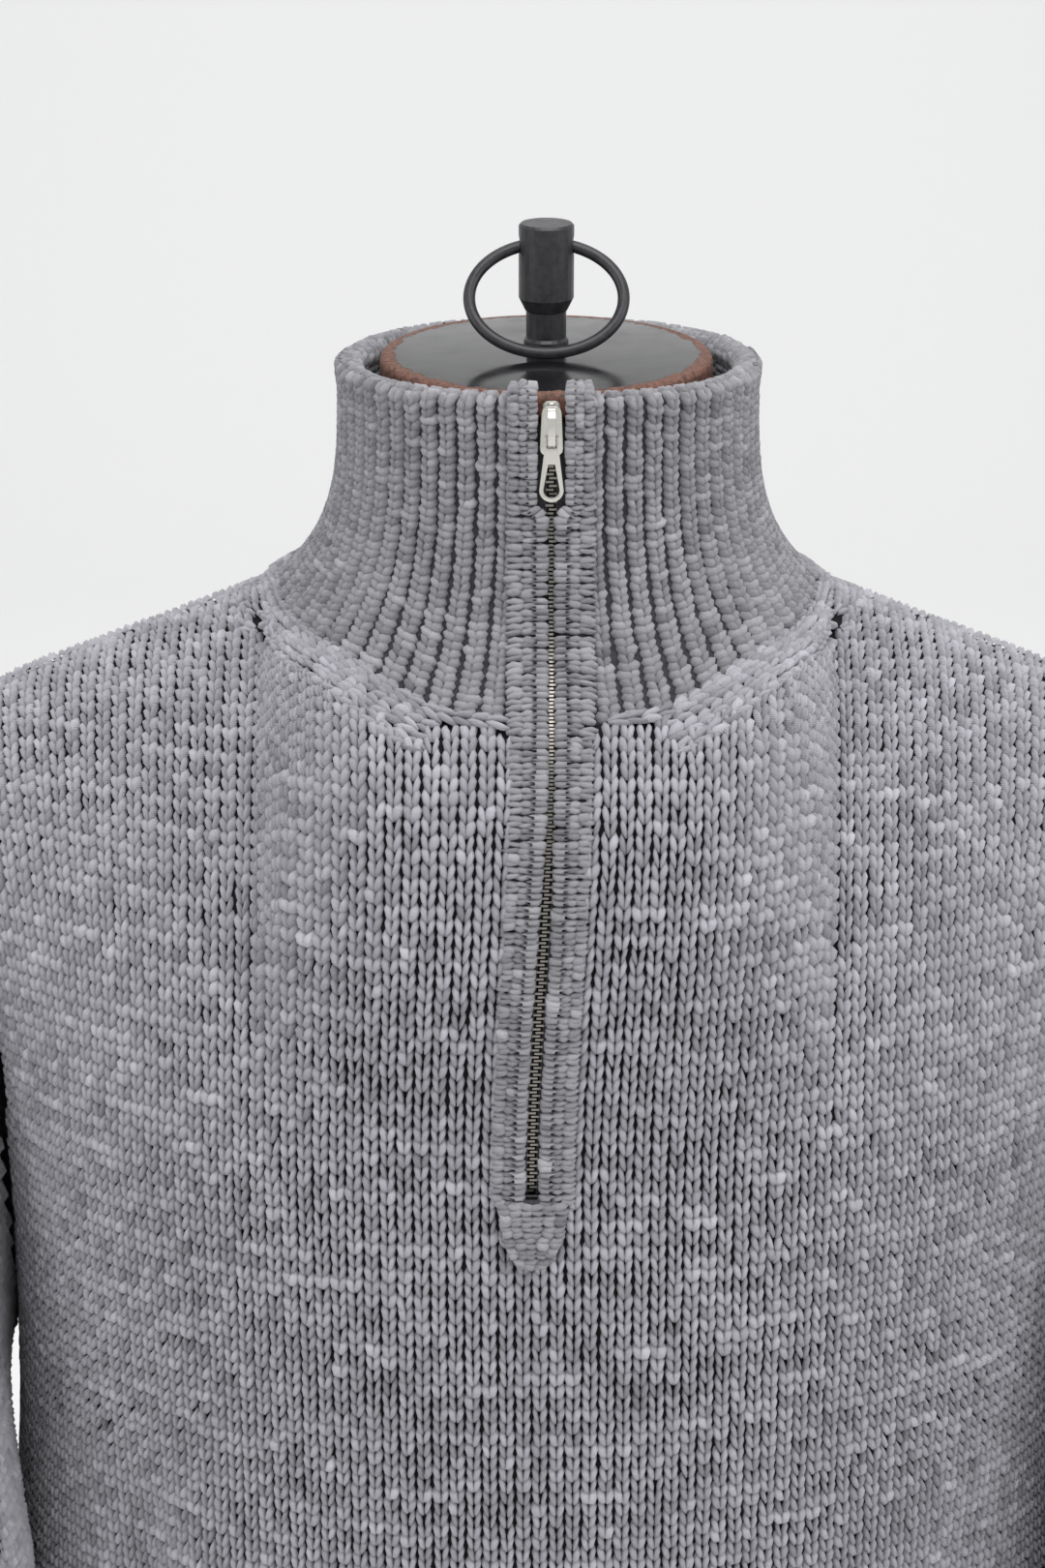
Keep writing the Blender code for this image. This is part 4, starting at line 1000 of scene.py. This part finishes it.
def collar_line(angle):
    """The collar's cut at an angle: up the outer face, over the rolled edge and down inside."""
    outer = np.array([collar_point(angle, share) for share in np.linspace(0, 0.88, 24)])
    right = np.array((math.cos(angle), math.sin(angle) * 0.98, 0.0))
    normals = unit(np.cross(unit(right), np.gradient(outer, axis=0)))
    inner = outer - normals * COLLAR_WALL
    crown = collar_point(angle, 1.0)
    out, rise = normals[-1], np.array((0.0, 0.0, 1.0))
    middle = crown - out * COLLAR_WALL / 2 - rise * COLLAR_WALL * 0.62
    roll = COLLAR_WALL / 2 + 0.8 * MM
    arc = [
        middle + out * roll * math.cos(a) + rise * (COLLAR_WALL * 0.62) * math.sin(a)
        for a in np.radians(np.linspace(15, 165, 9))
    ]
    return np.concatenate((outer, arc, inner[::-1][:20]))


collar_start = math.asin((SLIT - 1.9 * MM) / COLLAR_HALF)
collar_angles = np.linspace(collar_start, 2 * math.pi - collar_start, 125)
collar_grid = leaning(np.array([collar_line(a) for a in collar_angles]).transpose(1, 0, 2))

rows, columns = collar_grid.shape[:2]
fine_a = np.linspace(0, columns - 1, 6 * COLLAR_RIBS + 1)
dense = on_grid(collar_grid, *np.meshgrid(fine_a, np.arange(rows)))
out = unit(np.cross(np.gradient(dense, axis=1), np.gradient(dense, axis=0)))
depth = flute(6, COLLAR_RIBS, 2.4 * MM, 1.4 * MM)[None, :, None]
collar_points = (dense - out * depth).reshape(-1, 3)
steps = np.linalg.norm(np.diff(dense, axis=0), axis=2)
along = np.concatenate((np.zeros((1, dense.shape[1])), np.cumsum(steps, axis=0)))
around = np.broadcast_to(np.linspace(0, 1, dense.shape[1]), along.shape)
collar_uv = np.stack((around, along), axis=-1).reshape(-1, 2)
index = np.arange(rows * dense.shape[1]).reshape(rows, -1)
corners = (index[:-1, :-1], index[:-1, 1:], index[1:, 1:], index[1:, :-1])
collar_faces = np.stack(corners, axis=-1).reshape(-1, 4)
collar_cloth = finish_mesh("collar_cloth", collar_points, collar_faces, rib_ground, collar_uv)

frames = rib_frames(collar_grid, COLLAR_RIBS, COLLAR_COURSE)
collar_stitches = stitched("collar_stitches", frames, COLLAR_LEG, ROUND, rib_slub)
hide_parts("collar")
belongs((collar_cloth, collar_stitches))


# ---------------------------------------------------------------- zip bands
# Two narrow bands in firm garter stitch cover the edges of the zip. They are knitted crosswise, so
# their ridges run across, and their lower ends are sewn down together in a point.

BAND_RIDGE = 4.2 * MM
BAND_TOP = 0.8105
BAND_PROUD = 1.6 * MM
BAND_ROLL = 3.4 * MM  # the radius over which a band turns back at its top


def centre_path(heights):
    """The cloth's outer face down the middle of the front: points, and the direction outwards."""
    chest = np.array([upper_point(1e-6, t, -1) for t in np.linspace(0, 1, 15)])
    neck = np.array([collar_point(0.0, s) for s in np.linspace(0.06, 1.0, 16)])
    below = np.array([level_point(1e-6, z, -1) for z in np.linspace(BUST - 0.05, BUST - 0.005, 6)])
    whole = np.concatenate((below, chest, neck))
    z = np.linspace(BUST - 0.024, BAND_TOP, 34)
    y = np.interp(z, whole[:, 2], whole[:, 1])
    for _ in range(2):
        y[1:-1] = (y[:-2] + 2 * y[1:-1] + y[2:]) / 4
    place = (heights - z[0]) / (z[1] - z[0])
    path = cubic(np.stack((np.zeros(len(z)), y, z), axis=1), place)
    up = unit(np.gradient(path, axis=0))
    return path, np.stack((np.zeros(len(path)), -up[:, 2], up[:, 1]), axis=1)


def band_inner_edge(z):
    """Half of the gap between the bands: open round the slider, closed below it, slack further down."""
    slack = 0.0005 + 0.0013 * smoothed((0.69 - z) / 0.05)
    return slack + (0.0043 - slack) * smoothed((z - 0.7705) / 0.006)


def band_grid(side):
    """The band's puffy face: rows go up, and columns to the right."""
    heights = np.linspace(BUST - 2 * MM, BAND_TOP - 2.0 * MM, 150)
    path, out = centre_path(heights)
    up = np.array((0.0, out[-1, 2], -out[-1, 1]))
    turns = np.radians(np.linspace(8, 120, 14))
    bends = np.cos(turns)[:, None] * out[-1] + np.sin(turns)[:, None] * up
    path = np.concatenate((path, path[-1] - BAND_ROLL * out[-1] + BAND_ROLL * bends))
    out = np.concatenate((out, bends))
    heights = np.concatenate((heights, np.full(len(turns), heights[-1])))
    inner, outer = band_inner_edge(heights), SLIT + 0.2 * MM
    middle, half = (inner + outer) / 2, (outer - inner) / 2
    q = np.linspace(-1, 1, 13)
    lift = BAND_PROUD * (1 - np.abs(q) ** 3.2) - 1.4 * MM * np.abs(q) ** 9
    across = side * (middle[:, None] + half[:, None] * q[None, :])
    if side < 0:
        across, lift = across[:, ::-1], lift[::-1]
    grid = path[:, None] + across[..., None] * np.array((1.0, 0, 0)) + lift[None, :, None] * out[:, None]
    return leaning(grid)


BAND_LEG = (
    (-0.36, 0.09, 0.14, -0.9),
    (0.06, 0.16, 0.285, 0.75),
    (0.58, 0.26, 0.300, 0.95),
    (1.12, 0.25, 0.14, -1.0),
)
for side, word in ((1, "left"), (-1, "right")):
    grid = band_grid(side)
    cloth = shell("zip_band_cloth_" + word, grid, 1.6 * MM, 3.2 * MM, (rib_ground, rib_ground))
    fine_b = np.linspace(0, len(grid) - 1, 1200)
    path = on_grid(grid, np.full(1200, 6.0), fine_b)
    run = run_along(path)
    total = int(run[-1] / BAND_RIDGE)
    b = np.interp((np.arange(total) + 0.5) * BAND_RIDGE, run, fine_b)
    stitches_across = np.array((0.6, 4.6, 8.8))
    a, b = [part.ravel() for part in np.meshgrid(stitches_across, b)]
    if side < 0:
        a = 12.0 - a
    b = b + dice.normal(0, 0.12, len(b))
    point = on_grid(grid, a, b)
    right, up, outward = directions_on(grid, a, b)
    pitch = (SLIT - band_inner_edge(point[:, 2])) / 2.75
    thick = 1.0 + 0.12 * dice.normal(0, 1, len(b))
    frames = (point, up * BAND_RIDGE, right * side * pitch[:, None], outward, np.clip(thick, 0.75, 1.35))
    stitches = stitched("zip_band_stitches_" + word, frames, BAND_LEG, ROUND, rib_slub)
    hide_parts("zip_band_" + word)
    belongs((cloth, stitches))


# The bands' sewn end: the same garter stitch, drawn in to a round point.
end_heights = np.linspace(BUST - PLACKET_END, BUST + 0.5 * MM, 30)
path, out = centre_path(end_heights)
down = np.clip((BUST - end_heights) / PLACKET_END, 0, 1)
end_width = 12.4 * MM * np.sqrt(np.clip(1 - (0.92 * down) ** 2.2, 0.0, 1))
q = np.linspace(-1, 1, 15)
lift = 0.4 * MM + 2.9 * MM * np.sqrt(np.clip(1 - np.abs(q) ** 3, 0, 1))
lift = lift[None, :] * (0.35 + 0.65 * smoothed((1 - down[:, None]) / 0.35))
across = (end_width[:, None] * q)[..., None] * np.array((1.0, 0, 0))
end_grid = leaning(path[:, None] + across + lift[..., None] * out[:, None])
end_cloth = shell("placket_end_cloth", end_grid, 1.2 * MM, 2.2 * MM, (rib_ground, rib_ground))
places = []
for row in np.arange(1.5, 28.5, 29 * BAND_RIDGE / PLACKET_END / 1.12):
    width = 2 * np.interp(row, np.arange(30), end_width)
    number = max(int(round(width / (3.9 * MM))), 1)
    for n in range(number):
        places.append((14 * (n + 0.5) / number, row, width / number))
a, b, pitch = np.array(places).T
point = on_grid(end_grid, a, b)
right, up, outward = directions_on(end_grid, a, b)
turned = np.sign(a - 7.0)[:, None]
turned[turned == 0] = 1.0
reach = right * turned * pitch[:, None]
thick = np.clip(1.0 + 0.12 * dice.normal(0, 1, len(a)), 0.8, 1.3)
frames = (point - reach / 2, up * BAND_RIDGE, reach, outward, thick)
end_stitches = stitched("placket_end_stitches", frames, BAND_LEG, ROUND, rib_slub)
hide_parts("placket_end")
belongs((end_cloth, end_stitches))

# The chain that links the collar to the neck.
chain_curve = leaning(np.array([neck_seam(x) for x in np.radians(np.linspace(10, 350, 400))]))
chain = beside_seam(body_tree, chain_curve, 0.1 * MM, 5.6 * MM, 5.0 * MM, 1.3 * MM)
chain_stitches = stitched("neck_seam_chain", chain, FINE_LEG, ROUND, grey_slub)
belongs((chain_stitches,))


for word in ("left", "right"):
    cloth, pieces = sleeve_cloths[word]


# ---------------------------------------------------------------- zip
# A metal zip on woven tape: two rows of nickel-plated teeth, a slider with a crown that holds the
# pull, and a teardrop pull stamped from sheet.

nickel, tree, shader = new_material("polished nickel plate", Base_Color=linear("d9d6cf"), Metallic=1.0)
wear = noise(tree, added(tree, "TexCoord"), 0.8 * MM, 5.0, 0.7)
tree.links.new(spanned(tree, wear, 0.3, 0.75, 0.14, 0.38), shader.inputs["Roughness"])
relief(tree, shader, wear, 0.25, 0.05 * MM)

tape_weave, tree, shader = new_material("woven zip tape", Base_Color=linear("3a3a3d"), Roughness=0.92)
place = added(tree, "TexCoord")
wave = {"Scale": 1 / (0.5 * MM) / 20, "Distortion": 0.4}
ribs = added(tree, "TexWave", wave, {"Vector": place.outputs["Object"]}, bands_direction="Z")
relief(tree, shader, ribs.outputs["Fac"], 0.6, 0.15 * MM)
for word in ("left", "right"):
    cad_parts["zip_tape_" + word].data.materials[0] = tape_weave

# The teeth's nickel gets a darker colour than the slider's: painted shade of the narrow gap between the bands
# where the teeth sit.
shade_darkened_nickel, _, shader = new_material("nickel of the teeth darkened as painted shade", Base_Color=linear("9b978f"), Metallic=1.0)
shader.inputs["Roughness"].default_value = 0.34

TOOTH_PITCH = 2.5 * MM
TOOTH_DEPTH = 3.4 * MM  # the teeth's outer faces are this far below the cloth's
fine_z = np.linspace(BUST + 1.0 * MM, 0.7905, 900)
path, out = centre_path(fine_z)
run = run_along(path)
half_tooth = np.array([(x, y, z) for y in (1.0, 0.0) for z in (-1, 1) for x in (0.0, 1.0)])
points, faces = [], []
box_faces = ((0, 1, 3, 2), (4, 6, 7, 5), (0, 4, 5, 1), (2, 3, 7, 6), (0, 2, 6, 4), (1, 5, 7, 3))
for side in (-1, 1):
    start = TOOTH_PITCH * (0.25 if side < 0 else 0.75)
    for at in np.arange(start, run[-1], TOOTH_PITCH):
        p = np.array([np.interp(at, run, path[:, k]) for k in range(3)])
        n = unit(np.array([np.interp(at, run, out[:, k]) for k in range(3)]))
        up = np.cross(n, (1.0, 0, 0)) * -1
        for x, deep, high in half_tooth:
            narrow = 1.0 - 0.32 * (1 - deep)
            place = p + np.array((side * (-0.75 + 2.6 * x) * MM, 0, 0)) + up * high * 0.52 * MM * narrow
            points.append(place - n * (TOOTH_DEPTH + 1.9 * MM * deep))
        first = len(points) - 8
        faces += [tuple(first + k for k in (face if side > 0 else face[::-1])) for face in box_faces]
teeth = finish_mesh("zip_teeth", leaning(np.array(points)), faces, shade_darkened_nickel, smooth=False)
belongs((teeth,))


def rounded_copy(node, name, bevel, body):
    """A copy of a packed metal piece with its edges rounded as by tumbling, on its body."""
    bpy.ops.object.select_all(action="DESELECT")
    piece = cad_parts[node].copy()
    piece.data = piece.data.copy()
    piece.name = name
    piece.parent = None
    piece.matrix_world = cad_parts[node].matrix_world.copy()
    bpy.context.collection.objects.link(piece)
    bpy.context.view_layer.objects.active = piece
    piece.select_set(True)
    bpy.ops.object.mode_set(mode="EDIT")
    bpy.ops.mesh.select_all(action="SELECT")
    bpy.ops.mesh.remove_doubles(threshold=0.00001)
    bpy.ops.mesh.dissolve_limited(angle_limit=math.radians(2))
    bpy.ops.object.mode_set(mode="OBJECT")
    rounding = piece.modifiers.new("rounding", "BEVEL")
    rounding.width = bevel
    rounding.segments = 2
    rounding.limit_method = "ANGLE"
    rounding.angle_limit = math.radians(35)
    bpy.ops.object.modifier_apply(modifier=rounding.name)
    bpy.ops.object.shade_smooth_by_angle(angle=math.radians(40))
    piece.data.materials.clear()
    piece.data.materials.append(nickel)
    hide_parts(node)
    belongs((piece,), body)


rounded_copy("zip_slider", "slider_body", 0.22 * MM, "root")
rounded_copy("zip_pull", "pull_tab", 0.25 * MM, "pull")


# ---------------------------------------------------------------- form
# A padded torso under black jersey. On its neck sits a turned wooden cap in black enamel, chipped to
# the brown wood round its rim, and a blackened steel post that carries a loose oval ring.

jersey, tree, shader = new_material("black cotton jersey over padding", Base_Color=linear("2a2928"))
shader.inputs["Roughness"].default_value = 0.95
place = added(tree, "TexCoord")
wave = {"Scale": 1 / (1.2 * MM) / 6.3, "Distortion": 1.0}
weave = added(tree, "TexWave", wave, {"Vector": place.outputs["Object"]})
relief(tree, shader, weave.outputs["Fac"], 0.3, 0.2 * MM)
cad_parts["form_torso"].data.materials[0] = jersey

CAP_EDGE = 51.6 * MM  # the enamel is chipped from about this radius outwards
enamel, tree, shader = new_material("chipped black enamel on wood", Roughness=0.16)
place = added(tree, "TexCoord")
parts = added(tree, "SeparateXYZ", {}, {"Vector": place.outputs["Object"]})
flat_place = added(tree, "CombineXYZ", {}, {"X": parts.outputs["X"], "Y": parts.outputs["Y"]})
radius = added(tree, "VectorMath", {}, {0: flat_place.outputs["Vector"]}, operation="LENGTH")
chips = noise(tree, place, 5 * MM, 8.0, 0.72)
ragged = added(tree, "Math", {1: 9.0 * MM}, {0: chips}, operation="MULTIPLY")
edge = added(tree, "Math", {}, {0: radius.outputs["Value"], 1: ragged.outputs[0]}, operation="ADD")
bare = spanned(tree, edge.outputs[0], CAP_EDGE + 4.3 * MM, CAP_EDGE + 4.6 * MM, 0.0, 1.0)
wood = added(tree, "ValToRGB", {}, {"Fac": noise(tree, place, 1.5 * MM, 6.0)})
wood.color_ramp.elements[0].color = linear("3a2620")
wood.color_ramp.elements[0].position = 0.32
wood.color_ramp.elements[1].color = linear("7d5444")
wood.color_ramp.elements[1].position = 0.68
blend = {"Factor": bare, "B": wood.outputs["Color"]}
colour = added(tree, "Mix", {"A": linear("161618")}, blend, data_type="RGBA")
tree.links.new(colour.outputs["Result"], shader.inputs["Base Color"])
gloss = spanned(tree, noise(tree, place, 18 * MM, 5.0, 0.65), 0.35, 0.75, 0.10, 0.30)
matt = added(tree, "Math", {1: 0.55}, {0: bare}, operation="MULTIPLY")
roughness = added(tree, "Math", {}, {0: gloss, 1: matt.outputs[0]}, operation="ADD")
tree.links.new(roughness.outputs[0], shader.inputs["Roughness"])
pits = added(tree, "Math", {1: -1.0}, {0: bare}, operation="MULTIPLY")
relief(tree, shader, pits.outputs[0], 0.7, 0.35 * MM)

cap_low, cap_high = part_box("neck_cap")
bpy.ops.object.select_all(action="DESELECT")
bpy.ops.mesh.primitive_cylinder_add(
    vertices=128,
    radius=cap_high[0],
    depth=cap_high[2] - cap_low[2],
    location=(0.0, 0.0, (cap_low[2] + cap_high[2]) / 2),
)
neck_cap = bpy.context.object
neck_cap.name = "enamelled_cap"
rounding = neck_cap.modifiers.new("rounding", "BEVEL")
rounding.width = 2.4 * MM
rounding.segments = 5
rounding.limit_method = "ANGLE"
bpy.ops.object.modifier_apply(modifier=rounding.name)
bpy.ops.object.transform_apply()
bpy.ops.object.shade_smooth_by_angle(angle=math.radians(30))
neck_cap.data.materials.append(enamel)
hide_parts("neck_cap")
belongs((neck_cap,))

black_steel, tree, shader = new_material("blackened steel, satin lacquer", Roughness=0.38, Metallic=0.25)
place = added(tree, "TexCoord")
speck = noise(tree, place, 2.5 * MM, 6.0, 0.7)
tint = added(tree, "ValToRGB", {}, {"Fac": speck})
tint.color_ramp.elements[0].color = linear("242427")
tint.color_ramp.elements[0].position = 0.3
tint.color_ramp.elements[1].color = linear("3c3c40")
tint.color_ramp.elements[1].position = 0.78
tree.links.new(tint.outputs["Color"], shader.inputs["Base Color"])
tree.links.new(spanned(tree, speck, 0.3, 0.7, 0.28, 0.48), shader.inputs["Roughness"])
for node in ("post_stem", "post_sleeve"):
    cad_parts[node].data.materials[0] = black_steel

RING_HALF_WIDTH = 25.8 * MM
RING_HALF_HEIGHT = 19.1 * MM
RING_WIRE = 2.2 * MM
RING_BOW = 0.65 * MM
RING_AXIS = (0.0, 0.008, 0.8415)
RING_LEAN = math.acos((34.5 * MM - RING_WIRE - SEAM_GAP) / (2 * RING_HALF_HEIGHT - RING_BOW))
bpy.ops.object.select_all(action="DESELECT")
bpy.ops.curve.primitive_bezier_circle_add(radius=RING_HALF_WIDTH)
ring = bpy.context.object
ring.name = "wire_ring"
ring.scale = (1.0, RING_HALF_HEIGHT / RING_HALF_WIDTH, 1.0)
bpy.ops.object.transform_apply(scale=True)
ring.data.bevel_depth = RING_WIRE
ring.data.bevel_resolution = 6
ring.data.resolution_u = 24
reach = RING_HALF_HEIGHT - RING_BOW
ring.location = (
    RING_AXIS[0], RING_AXIS[1] - math.sin(RING_LEAN) * reach, RING_AXIS[2] - math.cos(RING_LEAN) * reach
)
ring.rotation_euler = (math.pi / 2 - RING_LEAN, 0.0, 0.0)
bpy.ops.object.convert(target="MESH")
bpy.ops.object.transform_apply()
ring.data.materials.clear()
ring.data.materials.append(black_steel)
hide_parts("ring")
belongs((ring,), "ring")


# ---------------------------------------------------------------- end

low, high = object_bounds()
